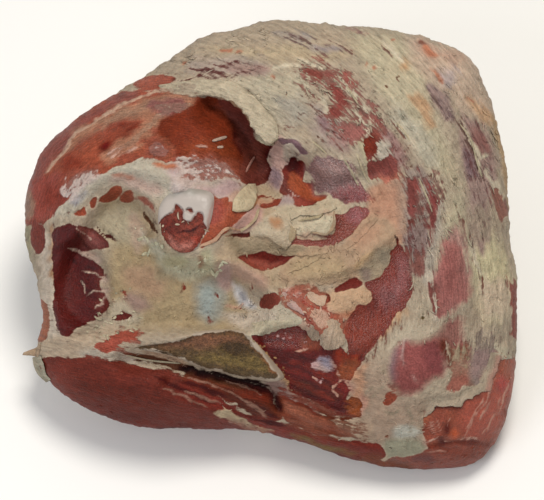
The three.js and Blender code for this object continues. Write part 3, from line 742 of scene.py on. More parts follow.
# Painted shade: the crease along the cut's lower edge is painted darker.
lean_tint("#652a1f", "122,-162 140,-159 157,-158 174,-161", width=3.5, soft=1.5)
for fringe in ("124,-157 133,-155", "138,-157 146,-158", "150,-156 160,-155 168,-156"):
    fat("#b08a78", fringe, width=1.1, fray=0.8, blur=0.8)
lean("#54201a", "141,-144 140.5,-149", width=1.2, fray=0.3)
lean("#4d1c15", "135,-156 138,-157", width=1.4, fray=0.4)
print(len(BODY), "patches so far")

# %% [markdown]
# The near edge is cut in long strips: dark red muscle bands with seams of fat between them, and
# a gap under the sawn bone that is painted near black as shade. The grooves between the strips
# and in the bed are painted dark as shade too. Beside the gap is the bed that a bone was cut out
# of, with a few pale dots painted on as glints.

# %% The near edge and the bed of the removed bone
lean("#682e27", "-186,-93 -165,-89 -140,-90 -118,-94 -95,-98 -75,-102 -62,-107 -40,-122 -20,-135 "
    "10,-142 40,-152 70,-158 88,-160 91,-168 80,-173 40,-172 0,-160 -60,-158 -150,-150 -195,-112",
    fray=1)
lean_tint("#5c261f", "-150,-110 -110,-122 -60,-140 -60,-150 -110,-150 -150,-140", soft=12)
lean("#552920", "-70,-103 -50,-104 -25,-109 -5,-113 1,-120 4,-128 9,-137 4,-141 -10,-138 -26,-129 "
    "-46,-121 -64,-114", fray=1)
lean_tint("#6b2c20", "-66,-104 -40,-107 -20,-114 -2,-118 -6,-126 -30,-118 -60,-110", soft=5)
lean("#6e2c26", "-72,-112 -60,-118 -45,-123 -30,-130 -20,-137 0,-141 20,-145 36,-152 60,-156 "
    "86,-160 90,-167 80,-170 60,-165 30,-156 0,-148 -20,-142 -28,-133 -42,-129 -60,-123 -72,-120",
    fray=0.8)
lean("#5c3a2b", "-118,-88 -98,-88 -76,-93 -55,-101 -34,-106 -20,-108 -24,-112 -50,-106 -74,-100 "
    "-100,-93 -118,-92", fray=0.5)
fat("#a59272", "-46,-133.5 -36,-131 -29,-135 -21,-140.5 -8,-146 3,-149 -10,-148.5 -24,-144 -36,-139",
    fray=0.35, blur=0.8)
for strip in ("-86,-115 -74,-120 -60,-126 -50,-130", "-46,-111 -34,-118 -20,-125 -10,-131 -3,-137",
        "-36,-109 -20,-114 -8,-120", "-66,-106 -54,-110 -40,-115", "-20,-127 -12,-130 -3,-138",
        "-70,-118 -54,-122 -40,-127", "-34,-141 -20,-146 0,-151"):
    fat("#86614f", strip, width=1.3, fray=0.25, blur=1.0)
# Painted shade: the grooves between the strips are painted dark.
for shaded_groove in ("-92,-106 -78,-114 -62,-120 -44,-128", "-60,-104 -40,-108 -18,-113 -4,-118",
        "-74,-110 -56,-114 -36,-122", "-30,-121 -16,-126 -2,-134 8,-139", "-22,-137 0,-142 20,-146"):
    lean_tint("#3d1814", shaded_groove, width=2.2, soft=1.4)
lean("#743929", "3,-114 10,-120 20,-124 30,-130 40,-136 50,-141 62,-144 70,-149 60,-153 45,-153 "
    "30,-149 15,-143 8,-136 3,-126", fray=0.4, blur=0.8)
lean_tint("#8a4f3b", "12,-126 26,-131 40,-139 50,-145 40,-148 24,-141 12,-134", soft=4)
fat("#a08870", "50,-139 64,-141 74,-140 80,-148 76,-154 64,-150", fray=0.8, blur=2.5)
worn("#7f4a38", "48,-139 64,-141 76,-142 80,-150 74,-156 56,-152", much=0.45)
fat_tint("#7f6c40", "12,-151 45,-163 65,-168 84,-173", width=4, soft=2)
lean_tint("#6b5230", "16,-152 45,-162 70,-168", width=3.5, soft=2)
lean("#693726", "74,-172 90,-176 112,-179", width=8, fray=0.8)
fat("#a89d86", "-14,-53 0,-53 8,-51 16,-54 25,-60 20,-62.5 12,-64.5 6,-66 0,-69 -4,-71 -8,-69.5 "
    "-12,-70 -17,-72 -20,-62", fray=0.7)
lean("#5a1911", "-17,-72.5 -12,-70.5 -8,-70 -4,-71.5 0,-69.5 6,-66.5 12,-65 20,-64 26,-66 32,-70 "
    "36,-76 40,-79.5 44,-82.5 50,-84 53,-82 57,-84 62,-88 68,-88 72,-93 68,-100 66,-106 62,-110 "
    "64,-115 61,-120 62,-124 66,-121 71,-123 73,-130 71,-138 60,-138 50,-136.5 40,-133.5 30,-128.5 "
    "20,-123.5 12,-118.5 13,-112 11,-105 5,-98 0,-92 -5,-86 -11,-79", fray=0.4, wet=0.25)
lean_tint("#6e241a", "-8,-72 4,-69 16,-66 26,-70 28,-80 12,-83 -2,-82", wet=0.8)
lean_tint("#85422f", "24,-72 32,-72 38,-80 34,-84 24,-80")
lean_tint("#4e1510", "0,-86 20,-85 34,-87 30,-97 10,-99")
lean_tint("#6b211b", "30,-100 48,-101 54,-108 50,-113 38,-112", soft=2.5)
lean_tint("#4f291e", "18,-108 40,-110 58,-118 56,-124 36,-121 18,-117")
lean_tint("#4b1c18", "26,-124 44,-126 64,-131 60,-135 40,-131", soft=2)
lean_tint("#8c2d18", "52,-84 60,-86 70,-88 68,-96 56,-97 52,-92", soft=2)
lean_tint("#8a4426", "56,-94 70,-93 66,-104 58,-106 54,-100")
lean_tint("#7a2018", "53,-111 59,-111 62,-116 57,-119 53,-117", soft=1.5)
lean_tint("#7f401f", "61,-122 70,-122 74,-130 70,-138 62,-134", soft=2)
# Painted shade: the grooves of the bed are painted dark.
for shaded_groove in ("0,-92 20,-96 40,-108 58,-118", "6,-101 26,-107 48,-119 64,-129", "10,-109 30,-119 "
        "54,-131", "-6,-83 16,-87 36,-92", "-8,-76 6,-76 20,-79"):
    lean_tint("#4b1812", shaded_groove, width=2.0, soft=1.6)
for ridge in ("2,-97 22,-102 44,-114 60,-123", "-2,-79 14,-81 30,-85", "8,-105 28,-113 50,-125",
        "2,-72 16,-70 28,-73", "36,-104 48,-108 54,-114", "14,-93 30,-97 44,-104"):
    lean_tint("#6e261b", ridge, width=1.8, soft=1.8)
fat("#7d7484", "33,-95 38,-91 44,-90 49,-92 50,-98 48,-102 42,-100 36,-99", fray=1.6, blur=3.0, wet=0.6)
fat("#a88a80", "32,-98 36,-96 40,-99 46,-103", width=1.4, fray=0.4)
for strand in ("18,-84.5 24,-83 31,-82", "51,-95 54,-103 55.5,-110 50,-116 53.5,-122", "58,-105 "
        "61,-111 65,-116", "33,-104 38,-108", "73,-122 74,-128 71,-134"):
    fat("#a87c68", strand, width=1.6, fray=0.5)
# Painted glints: small pale dots on the wet bed stand for highlights.
for glint in ((5, -73), (10, -75), (25, -67), (16, -74), (35, -96), (39, -110), (42, -108), (12, -71),
        (26, -78), (28, -77)):
    fat("#b08a86", [(glint[0] - 1.2, glint[1]), (glint[0] + 1.2, glint[1] + 0.3)], width=1.5)
for bead in ((-12, -77), (-9, -80), (-7, -84), (-4, -87), (-1, -90), (1, -93), (4, -96), (6, -99),
        (9, -102), (11, -105), (13, -109), (14, -113), (17, -116), (-6, -81), (3, -90), (9, -98),
        (14, -105)):
    fat("#a07c4a", [(bead[0] - 0.7, bead[1] + 0.4), (bead[0] + 0.7, bead[1] - 0.4)], width=1.5,
        fray=0.7)
fat("#7a6158", "-3,-111 4,-109.5 9,-110 13,-115 20,-119.5 30,-124 40,-129 52,-134 44,-133.5 32,-129 "
    "20,-124.5 10,-121 3,-119 0,-115", fray=0.4)
worn("#6e2c22", "6,-112 14,-114 30,-123 54,-134 40,-136 18,-125 4,-119", soft=2)
fat_tint("#95705e", "16,-118 34,-127 54,-135", width=3, soft=2)
lean("#5c2b1c", "40,-134 52,-137.5 66,-139 60,-141 48,-139")
# Painted shadow: the gap under the sawn bone is painted near black.
lean("#190a09", "-72,-98 -45,-102.5 -25,-107 -10,-110.5 -2,-114", width=3.0, fray=0.4)
lean("#2e1511", "-2,-114 3,-122 7,-131", width=2.0, fray=0.4, blur=1.2)
print(len(BODY), "patches so far")

# %% [markdown]
# The rump at the left is bare muscle with a band of white tendon across it. Below the band is
# the hollow of the pelvis, lined with cream fat, and a dark cut muscle with a pale rim.

# %% The rump
lean("#8a4736", "-200,36 -194,62 -183,80 -157,101 -129,120 -105,124 -85,122 -62,119 -50,118.5 "
    "-41,117 -33,115 -27,110.5 -21,103 -14,94 -12,87 -9,83 -4,81 1,80.5 -2,74 -2,66 1,61 0,56 -3,51 "
    "-10,46 -20,47 -27,50 -36,50.5 -48,47.5 -60,44.5 -68,47 -71,52 -67,57 -64,61 -66,66 -78,66 "
    "-92,67.5 -100,69.5 -112,66 -124,63 -131,58 -140,55 -147,53 -153,48 -161,38 -171,28 -179,20 "
    "-188,17 -200,18", fray=0.5)
lean_tint("#824840", "-200,40 -190,66 -176,86 -154,102 -130,116 -112,122 -112,117 -134,105 -152,93 "
    "-164,78 -174,64 -182,52 -186,36")
lean_tint("#6c4a4c", "-168,76 -162,84 -156,90 -152,92 -158,84 -164,76", soft=4)
lean_tint("#874239", "-192,50 -184,56 -178,57 -172,60 -166,56 -158,55 -152,50 -160,39 -170,28 "
    "-180,20 -192,22")
lean_tint("#76352c", "-182,44 -172,46 -162,44 -168,32 -178,26 -184,34", soft=6)
lean_tint("#95664f", "-182,57 -174,68 -164,79 -157,90 -147,96 -134,104 -120,111 -106,117 -90,121 "
    "-70,122 -60,118 -64,113 -72,107 -82,103 -92,104 -102,100 -116,100 -128,99 -138,95 -146,86 "
    "-156,80 -166,71 -173,62")
lean_tint("#94705a", "-150,90 -134,100 -110,112 -80,119 -66,118 -76,112 -110,104 -140,94", soft=5)
lean_tint("#8c4531", "-170,66 -160,76 -150,82 -142,88 -137,91 -136,84 -137,76 -131,69 -124,65 "
    "-130,59 -140,56 -150,58 -160,60 -168,60", soft=2)
lean_tint("#7b3426", "-168,68 -158,71 -152,66 -156,60 -166,61", soft=5)
lean_tint("#86402f", "-134,90 -130,96 -120,98 -106,98 -95,97 -94,93 -102,88 -112,82 -122,79 -130,80 "
    "-134,84", soft=2)
lean_tint("#6f2e22", "-122,97 -108,97 -100,92 -112,91", soft=4)
lean_tint("#8f4a35", "-112,79 -104,81 -98,78 -100,72 -110,73", soft=2.5)
film("#9a6a52", "-131,69 -120,74 -110,79 -103,85 -97,90 -91,98 -84,104 -72,106 -62,113 -68,115 "
    "-80,110 -92,105 -99,97 -106,89 -114,84 -124,79 -132,74", fray=1.0, blur=2.5)
fat("#a88972", "-180,57 -173,67 -164,78 -158,88 -149,94 -138,101 -126,108 -112,116 -98,121 -80,127",
    width=2.0, fray=0.5, blur=1.2)
film("#7e4f4c", "-95,112 -86,114 -72,115 -70,110 -80,106 -92,107")
lean_tint("#80504a", "-98,110 -90,113 -76,115 -71,111 -82,107 -94,107", soft=4)
lean_tint("#702f1f", "-41,117 -50,118 -60,117 -65,112 -71,107 -80,104 -88,100 -91,95 -90,87 -83,83 "
    "-78,78 -76,70 -66,66 -62,58 -69,52 -64,45 -50,47 -36,50 -26,52 -23,60 -21,68 -24,76 -27,83 "
    "-30,91 -33,99 -37,107", soft=1.6)
lean_tint("#793721", "-70,78 -50,84 -34,80 -28,66 -36,56 -56,54 -66,62", soft=7)
lean_tint("#84462f", "-92,88 -86,84 -80,79 -78,72 -82,68 -90,70 -84,76 -90,84")
# Painted shade in the cleft: its inside is painted dark red-brown, darker still under the lip at its right
# and down its left side.
lean_tint("#66342e", "-42,116.5 -33,116 -26,111 -19,102 -12,92 -8,82 2,81 3,66 2,52 -10,44 -21,47 "
    "-24,53 -24.5,61 -22,68 -24.5,75 -27.5,82 -30,90 -32,98 -36,106", soft=1.0)
lean_tint("#6b362d", "-20,80 -13,82 -9,74 -12,62 -19,56 -22,64", soft=4)
lean_tint("#421c18", "-6,81 3,80 2,66 4,56 -3,52 -2,62 -4,72")
lean_tint("#4a221d", "-34,100 -29,90 -27,80 -24,72", width=3, soft=1.5)
film("#8a4a3a", "-99,75 -97,81 -92,84 -88,82 -86,78 -82,76 -84,72 -90,69 -97,71", fray=1.8, blur=1.4,
    reach=1)
fat_tint("#a58c86", "-101,70 -99,83 -84,85 -80,70")
lean("#5c1813", "-134,77 -131,82", width=2.6, fray=0.5)
for streak_path in ("-131,72 -124,78", "-128,70 -118,76", "-121,70 -108,79", "-72,66 -64,71",
        "-67,46 -58,50 -50,54", "-60,78 -50,77.5"):
    fat("#b08a7a", streak_path, width=1.5, fray=0.4, blur=1.0)
lean("#8d4b3b", "-110,129 -100,134 -90,136 -81,135 -75,132 -84,127.5 -97,123.5 -105,124.5", fray=0.5)
lean("#7d4a42", "-128,116 -118,119 -109,121.5", width=3.5, fray=0.5)
lean("#4d2520", "-76,131 -66,131 -58,134 -40,134 -30,132.5 -24,129", width=1.6, fray=0.4)
# Painted shade: dark lines in the folds of the membrane.
for shaded_fold in ("-66,141 -58,139 -52,141 -44,138 -36,139", "-58,136 -50,137 -42,135 -34,136 -26,134",
        "-46,144 -38,143 -30,145 -20,143", "-28,138 -18,139 -8,142"):
    lean("#5a3836", shaded_fold, width=1.4, fray=0.8, blur=1.0)
fat_tint("#a58560", "-44,121 -30,116 -21,106 -14,97", width=6, soft=2.5)
fat_tint("#a79f8c", "-180,24 -165,38 -148,54 -120,66 -96,68 -80,60 -60,48 -50,40 -90,36 -110,46 "
    "-134,48 -150,34 -166,20", soft=4)
fat_tint("#aa9182", "-130,52 -112,55 -92,48 -86,40 -100,42 -118,47", soft=4)
fat_tint("#a8938f", "-86,64 -66,62 -64,56 -70,50 -60,44 -40,46 -30,46 -34,38 -52,44 -76,50", soft=4)
fat_tint("#989496", "-160,33 -154,37 -147,44", width=5, soft=2.5)
fat_tint("#a8633f", "-94,65 -84,63 -71,61", width=4.2, soft=1.5)
fat_tint("#a46e56", "-126,56 -118,54 -108,52", width=3, soft=2)
lean_tint("#a4604a", "-76,48 -72,50 -67,49 -68,46", soft=2)
fat("#b3a49c", "-78,46 -70,60 -76,68 -60,70 -46,68 -30,60 -24,50 -36,44 -60,42", fray=1.4, blur=1.0)
worn("#8a4a3a", "-72,50 -64,70 -44,70 -22,58 -26,46 -40,47 -56,50", much=0.62, soft=6)
fat("#b3a49c", "-168,42 -160,52 -148,60 -140,58 -150,48 -160,38", fray=1.4, blur=1.0)
worn("#8a4a3a", "-168,46 -158,58 -140,62 -146,52 -158,44", much=0.6, soft=4)
for feather in ("-160,45 -157,50 -153,57", "-156,47 -152,53 -148,58", "-152,50 -147,55 -144,59",
        "-168,42 -165,49 -164,54", "-148,52 -142,56 -139,60", "-74,64 -66,65 -58,67", "-72,58 "
        "-64,59 -56,57", "-72,52 -64,50 -57,54", "-76,68 -68,69 -61,72", "-40,46 -34,50 -29,53",
        "-46,46 -40,49 -34,52", "-34,44 -28,48 -24,52"):
    fat("#b3a096", feather, width=1.7, fray=0.3, blur=0.9)
lean("#86422f", "-137,36 -133,42 -127,45 -121,45.5 -118.5,42 -123,36 -130,34", fray=0.4)
lean("#8a4734", "-120,37 -116,42 -111,43 -109.5,38 -114,34 -118,34", fray=0.4)
lean("#7c3c2c", "-143.5,30 -142,38 -139,38.5 -140,30", fray=0.3)
lean("#873f2d", "-158,24.5 -152,29 -149,31 -147.5,26 -152,23", fray=0.4)
lean("#96594a", "-108,38 -101,38.5 -96,34 -93,26 -99,31", blur=1.2)
lean_tint("#8c6a58", "-200,20 -196,44 -191,42 -190,24", soft=2)

print(len(BODY), "patches so far")

# %% [markdown]
# The hollow of the pelvis is lined with cream fat that is stained blue over cartilage. At its
# left a dark muscle was cut across, and it shows its dark inside between a few strands.

# %% The pelvis and the dark cut muscle
fat_tint("#95825f", "-134,34 -110,36 -96,20 -90,2 -70,-12 -40,-16 -20,-40 -16,-66 -70,-68 -116,-64 "
    "-130,-50 -130,0", soft=8)
fat_tint("#9c9074", "-140,22 -118,32 -106,26 -104,6 -124,0 -136,8", soft=6)
fat_tint("#a08a74", "-112,26 -103,22 -101,8 -106,-6 -112,4", soft=4)
fat_tint("#967a5e", "-116,-18 -96,-18 -84,-30 -90,-42 -108,-38 -118,-30", soft=6)
fat_tint("#908062", "-92,-18 -74,-18 -68,-26 -82,-30 -92,-26", soft=4)
fat_tint("#a0947c", "-130,-46 -116,-44 -104,-60 -124,-64", soft=5)
fat_tint("#8c7264", "-118,-40 -104,-40 -96,-50 -110,-53", soft=4)
fat_tint("#a6a084", "-96,4 -88,-4 -76,-8 -58,-10 -48,-4 -46,-18 -56,-26 -70,-28 -90,-16", soft=4)
fat_tint("#a8a48c", "-97,2 -91,0 -84,-9 -90,-11 -96,-4", soft=2.5)
fat_tint("#9f9977", "-84,-10 -74,-9 -66,-14 -74,-19 -86,-16")
fat_tint("#9f9878", "-56,-4 -50,-6 -50,-20 -56,-20", soft=2.5)
fat_tint("#86684e", "-58,-8 -55,-14 -57,-18", width=4, soft=2)
fat_tint("#a69c88", "-104,13 -100,6 -92,4 -97,0 -104,3", soft=2)
fat_tint("#88877a", "-60,-30 -50,-27 -38,-28 -36,-44 -40,-60 -52,-62 -60,-54 -61,-40", soft=5)
fat_tint("#88918b", "-56,-34 -48,-34 -46,-54 -54,-56", soft=4)
fat_tint("#9a7d72", "-44,-17 -34,-15 -29,-22 -34,-36 -42,-34", soft=4)
fat_tint("#aaa8a6", "-30,-31 -24,-34 -17,-44 -12,-50 -22,-50 -29,-42")
fat_tint("#7d7c80", "-25,-38 -20,-44", width=4, soft=2)
fat_tint("#a3836e", "-30,-16 -12,-20 -4,-26 -6,-36 -18,-30 -28,-26", soft=4)
fat_tint("#a89b88", "-38,-56 -22,-54 -8,-52 4,-56 0,-66 -30,-66", soft=4)
fat_tint("#a8816a", "-36,-48 -28,-49.5 -22,-47", width=2.4, soft=1.5)
for slit in ("-44,-40 -41,-42.5", "-16.5,-28 -15,-32 -13,-37", "-52,-56 -49,-58 -47,-61", "-26,-50 "
        "-23,-51", "-119,-37 -116,-41", "-127,-42 -124,-46", "-70,-31 -69,-37"):
    lean("#72281f", slit, width=1.6, fray=0.4)
lean("#4d1a17", "-174,10 -167,15 -154,15 -143,12 -134,6 -130,-2 -141,-4 -151,-6 -145,-10 -137,-16 "
    "-134,-24 -137,-32 -132,-40 -130,-48 -137,-56 -145,-62 -157,-68 -166,-74 -172,-64 -175,-44 "
    "-177,-20 -175,-4", fray=0.7, wet=0.2)
# Painted sheen: a paler mauve patch on the dark muscle stands for its wet reflection.
lean_tint("#7a423d", "-150,14 -142,12 -130,-1 -142,-4 -152,2", soft=4)
lean_tint("#561f1a", "-176,-8 -160,-12 -150,-30 -152,-52 -164,-66 -176,-40", soft=8)
fat("#93705f", "-161,-3 -153,-7 -144,-9", width=1.6)
fat("#b3a592", "-184,10 -179,-8 -178,-30 -177,-52 -174,-70 -166,-80", width=7)
fat_tint("#9a7350", "-176,16 -174,0 -175,-28", width=5)
fat_tint("#8c8467", "-198,22 -194,4 -192,-14", width=8, soft=4)
lean("#6e3630", "-190,18 -184,16 -180,8 -181,-2 -186,-7 -191,0 -192,10")
lean("#8f5239", "-186,-42 -180,-46 -178,-60 -180,-76 -188,-76 -192,-56")
lean("#5c1f1a", "-127,-58 -121,-55 -120,-53.5 -117,-55 -112,-56 -115,-59 -122,-61")
lean("#8a4030", "-143,-82 -136,-75 -126,-70 -116,-69 -106,-70 -110,-76 -120,-80 -126,-86 -136,-85",
    fray=1.8)
lean_tint("#6b3a44", "-126,-70 -114,-68 -106,-71 -114,-74", soft=2)
worn("#94483a", "-150,-88 -140,-72 -110,-64 -96,-70 -110,-82 -130,-90", much=0.42, soft=4)
lean_tint("#57211d", "-163,-14 -158,-24 -152,-22 -152,-34 -158,-50 -166,-40")
# Painted shade: the cracks in the dark muscle are painted near black.
for shaded_crack in ("-160,-10 -154,-16 -146,-17 -138,-20", "-160,12 -150,2 -144,-4", "-152,-24 -149,-34 "
        "-143,-38"):
    lean_tint("#2b100f", shaded_crack, width=1.8, soft=1.2)
for strand in ("-163,-2 -154,-5 -146,-10 -138,-12", "-156,14 -151,9 -144,3", "-152,-22 -145,-21 "
        "-138,-25 -133,-29", "-147,-41 -142,-37 -136,-38 -131,-36", "-152,-29 -149,-33 -148,-39",
        "-140,-52 -135,-47 -132,-42"):
    fat("#a8917f", strand, width=1.0, fray=0.3, blur=0.8)
worn("#5c2826", "-142,20 -122,12 -118,-8 -124,-40 -112,-62 -130,-66 -140,-40 -136,-6", much=0.2, soft=5)
fat("#a8957c", "-190,-80 -170,-76 -146,-74 -130,-66 -124,-70 -140,-80 -150,-88 -175,-90 -194,-88")
fat("#a69a88", "-150,-86 -134,-88 -118,-90 -108,-91", width=4.5, fray=0.7)
fat("#9c8066", "-100,-84 -86,-89 -70,-95", width=2.0, fray=0.4)
# Painted shade: dark lines in two creases, beside the ilium and at the pelvis's left.
lean("#4c3427", "-102,27.5 -98.5,22 -95,16 -91,8.5", width=3.2, fray=0.5)
lean("#4a2018", "-141,14 -134,9 -124,3", width=2.4, fray=0.5)
fat("#a59585", "-34,38 -40,30 -44,34 -48,40 -60,46 -30,52 -26,44")
fat_tint("#a58a86", "-60,46 -44,47 -32,52 -26,46 -34,38 -46,38", soft=4)
lean("#974830", "-46,38 -41,36 -36,38.5 -31,34 -29,27.5 -22,28 -17,30 -16,27 -22,20 -30,15.5 -38,8 "
    "-44,2 -50,-1 -57,-2.5 -58,0 -52,10 -49,20 -47,30", fray=0.4, wet=0.2)
lean_tint("#8f4236", "-47,34 -40,34 -38,24 -46,16 -50,16")
fat("#ab8579", "-30,15.5 -24,21 -18,27 -12,31 -9,28 -12,20 -18,14 -22,11 -29,12", fray=0.5)
fat("#a58672", "-34,34 -30,38 -26,41", width=3)
lean("#7c3a2c", "-10,38 -4,40 4,38 9,38 6,33 0,30 -6,29 -9,32", fray=0.8)
fat("#9f7558", "-10,34 -7,37.5 -1,38 1,36 -4,33.5", fray=0.5)
fat("#a38f72", "-10,44 -5,45 0,43 6,40 2,39.5 -8,40", fray=0.8)
print(len(BODY), "patches of tissue")

# %% [markdown]
# Fibres. The cover's fibres run round the leg, the rump's run round the pelvis, and the near
# edge's run along it. Each system gives every point two numbers, how far along the fibres and how
# far across, and three weights say which system rules there.

# %% Fibre directions
COVER_CENTRE = (-95.0, -55.0)
RUMP_CENTRE = (-85.0, 0.0)
NEAR_EDGE_TURN = math.radians(-14)
MEAN_RADIUS = 170
# In the hollow the fat is a lining without fibres, so all three weights are low there.
SMOOTH_LINING = ("-150,34 -120,60 -80,62 -40,48 0,44 50,42 72,24 100,50 110,20 96,-10 82,-44 56,-62 "
    "10,-70 -60,-72 -128,-66 -140,-20")
SMOOTH_CORNER = ("84,-96 104,-74 126,-62 150,-84 176,-94 198,-100 202,-130 184,-168 150,-184 "
    "96,-182 78,-150")


def fibres(x, y):
    """Along and across coordinates of the three systems, in mm, and their weights."""

    def round_about(centre):
        """Angle times a mean radius, and distance from a centre."""
        dx, dy = x - centre[0], y - centre[1]
        return np.stack([np.arctan2(dx, dy) * MEAN_RADIUS, np.hypot(dx, dy)], -1)

    c, s = math.cos(NEAR_EDGE_TURN), math.sin(NEAR_EDGE_TURN)
    along_edge = np.stack([x * c + y * s, y * c - x * s], -1)
    rump = smoothstep((-20 - x) / 30) * smoothstep((y + 20) / 30)
    near = smoothstep((-85 - y + 0.25 * (60 - x)) / 16) * smoothstep((150 - x) / 30)
    rest = np.maximum(1 - rump - near, 0)
    weights = np.stack([rest, rump, near], -1) / (rest + rump + near)[:, None]
    fibrous = np.ones(len(x))
    for zone in (SMOOTH_LINING, SMOOTH_CORNER):
        fibrous -= 0.8 * smoothstep(0.5 + inside_distance(x, y, smooth_curve(zone, True, 4)) / 14)
    return round_about(COVER_CENTRE), round_about(RUMP_CENTRE), along_edge, weights * fibrous[:, None]


print("fibre weights on the rump:", np.round(fibres(np.array([-80.0]), np.array([90.0]))[3][0], 2))

# %% [markdown]
# Reading the painting: for any point of the face plane, each patch in turn moves the edge and
# lays its colour into the lean's or the fat's. The point is first nudged by a little noise, so
# that every outline wavers as a hand's would.

# %% Read the painting
EDGE_LIMIT = 12.0
BASE_FAT = srgb("#9d8e78")
BASE_LEAN = srgb("#74382c")
# What the sheen adds to the lean and the grooves take from the fat, so that the shaded colours match.
SHEEN_OFFSET = np.array([0.0, 0.009, 0.011])
FAT_TRIM = np.array([1.06, 1.03, 1.03])
# How much of each paint's colour against its grey is kept.
FAT_STRENGTH, LEAN_STRENGTH = 0.86, 0.9
# How worn sound fat is, and a film: the share of lean that shows through.
LITTLE_WORN, FILM_WORN = 0.1, 0.62


def paint(x, y, patches=BODY, first_lean=BASE_LEAN, first_fat=BASE_FAT):
    """The tissue at points of the face plane: edge in mm, lean and fat colours, fray, blur,
    wetness and how worn the fat is. A stain's border drifts with a noise along the fibres."""
    nudge_x = 1.3 * noise(x / 7, y / 7, 1) + 0.6 * noise(x / 2.8, y / 2.8, 2)
    nudge_y = 1.3 * noise(x / 7, y / 7, 3) + 0.6 * noise(x / 2.8, y / 2.8, 4)
    px, py = x + nudge_x, y + nudge_y
    systems = fibres(x, y)
    drift = sum(
        systems[3][:, i] * rough_noise(systems[i][:, 0] / 17, systems[i][:, 1] / 3.4, i + 2, 2)
        for i in range(3)
    )
    edge = np.full(len(x), EDGE_LIMIT)
    lean_colour = np.tile(first_lean, (len(x), 1))
    fat_colour = np.tile(first_fat, (len(x), 1))
    fray = np.full(len(x), 1.5)
    blur = np.full(len(x), 0.8)
    wet = np.zeros(len(x))
    thinness = np.full(len(x), LITTLE_WORN)
    for p in patches:
        line = p["line"]
        margin = EDGE_LIMIT + p["width"]
        near = (px > line[:, 0].min() - margin) & (px < line[:, 0].max() + margin)
        near &= (py > line[:, 1].min() - margin) & (py < line[:, 1].max() + margin)
        if not near.any():
            continue
        if p["width"]:
            away, along = distance_to(px[near], py[near], line)
            inside = p["width"] / 2 * (1 - np.abs(2 * along - 1) ** 4) ** 0.5 - away
        else:
            inside = inside_distance(px[near], py[near], line)
        if p["kind"] == "fat":
            edge[near] = np.maximum(edge[near], inside)
            thinness[near] += (LITTLE_WORN - thinness[near]) * smoothstep(0.5 + inside / 3)
        elif p["kind"] == "lean":
            edge[near] = np.minimum(edge[near], -inside)
        elif p["kind"] == "film":
            edge[near] = np.maximum(edge[near], inside - 1)
        stain = p["kind"] not in ("fat", "lean")
        loose = p["reach"] + (1.6 * min(p["soft"], 4) * drift[near] if stain else 0)
        weight = smoothstep(0.5 + (inside + loose) / (2 * p["soft"]))
        if p["kind"] in ("worn", "film"):
            much = FILM_WORN if p["kind"] == "film" else p["much"]
            thinness[near] += (much - thinness[near]) * weight
        sharp = smoothstep(0.5 + inside / 3)
        layer = fat_colour if p["kind"].startswith("fat") else lean_colour
        layer[near] += (p["colour"] - layer[near]) * weight[:, None]
        if not stain:
            fray[near] += (p["fray"] - fray[near]) * weight
            blur[near] += (p["blur"] - blur[near]) * weight
            wet[near] += (p["wet"] - wet[near]) * sharp
        elif p["wet"]:
            wet[near] = np.maximum(wet[near], p["wet"] * sharp)
    grey = fat_colour.mean(-1, keepdims=True)
    fat_colour = (grey + (fat_colour - grey) * FAT_STRENGTH) * FAT_TRIM
    grey = lean_colour.mean(-1, keepdims=True)
    lean_colour = grey + (lean_colour - grey) * LEAN_STRENGTH
    lean_colour = np.maximum(lean_colour - SHEEN_OFFSET, lean_colour * 0.4)
    return dict(edge=np.clip(edge, -EDGE_LIMIT, EDGE_LIMIT), lean=lean_colour, fat=fat_colour, fray=fray,
                blur=blur, wet=wet, worn=thinness)


sample = paint(np.array([-62.0, 90.0]), np.array([85.0, 150.0]))["edge"]
print("edge on the rump and on the cover:", np.round(sample, 1), "mm")

# %% [markdown]
# The material is one for all soft tissue. Raw muscle is moist: dark, glossy in small points,
# with a fine grain of fibres. Fat and membrane are paler, duller and streaked. The material reads
# the painting from the mesh and draws the border, the fibres, the streaks and the sheen.

# %% What the material reads
MATH, RANGE, NOISE = "ShaderNodeMath", "ShaderNodeMapRange", "ShaderNodeTexNoise"
COLOUR_MIX, SCALED = "ShaderNodeMix", "ShaderNodeVectorMath"
FROM_LOW, FROM_HIGH, TO_LOW, TO_HIGH = "From Min", "From Max", "To Min", "To Max"
PAINTED_VALUES = ("edge", "fray", "blur", "wet", "worn")
PAINTED_COLOURS = ("lean", "fat", "system")
FIBRE_SYSTEMS = ("fibre_cover", "fibre_rump", "fibre_edge")


def read_painting(tree, values=PAINTED_VALUES, colours=PAINTED_COLOURS):
    """The mesh's painted attributes by name, and the place on the object in metres."""
    read = {"position": add(tree, "ShaderNodeTexCoord").outputs["Object"]}
    for keys, output in ((values, "Fac"), (colours, "Color")):
        for key in keys:
            read[key] = add(tree, "ShaderNodeAttribute", attribute_name=key).outputs[output]
    return read


def weighed(tree, start, terms):
    """start plus each source times its share."""
    for source, share in terms:
        start = add(tree, MATH, {0: source, 1: share, 2: start}, operation="MULTIPLY_ADD")
    return start


def shaded(tree, colour, spans):
    """The colour times a light for each span: source from low to high gives light from dark to
    bright, and the lights multiply."""
    light = 1.0
    for source, low, high, dark, bright in spans:
        span = {"Value": source, FROM_LOW: low, FROM_HIGH: high, TO_LOW: dark, TO_HIGH: bright}
        light = add(tree, MATH, {0: add(tree, RANGE, span), 1: light}, operation="MULTIPLY")
    return add(tree, SCALED, {0: colour, "Scale": light}, operation="SCALE")


def blended(tree, share, first, second, **settings):
    """The first colour where the share is 0 and the second where it is 1."""
    inputs = {0: share, 6: first, 7: second}
    return add(tree, COLOUR_MIX, inputs, data_type="RGBA", **settings).outputs[2]


print("painted:", ", ".join(PAINTED_VALUES + PAINTED_COLOURS))

# %% [markdown]
# The patterns are noises with a size in millimetres. Some are stretched along the fibres: each is
# drawn once for each of the three fibre systems and added up by the systems' weights. The rest
# are alike in all directions.

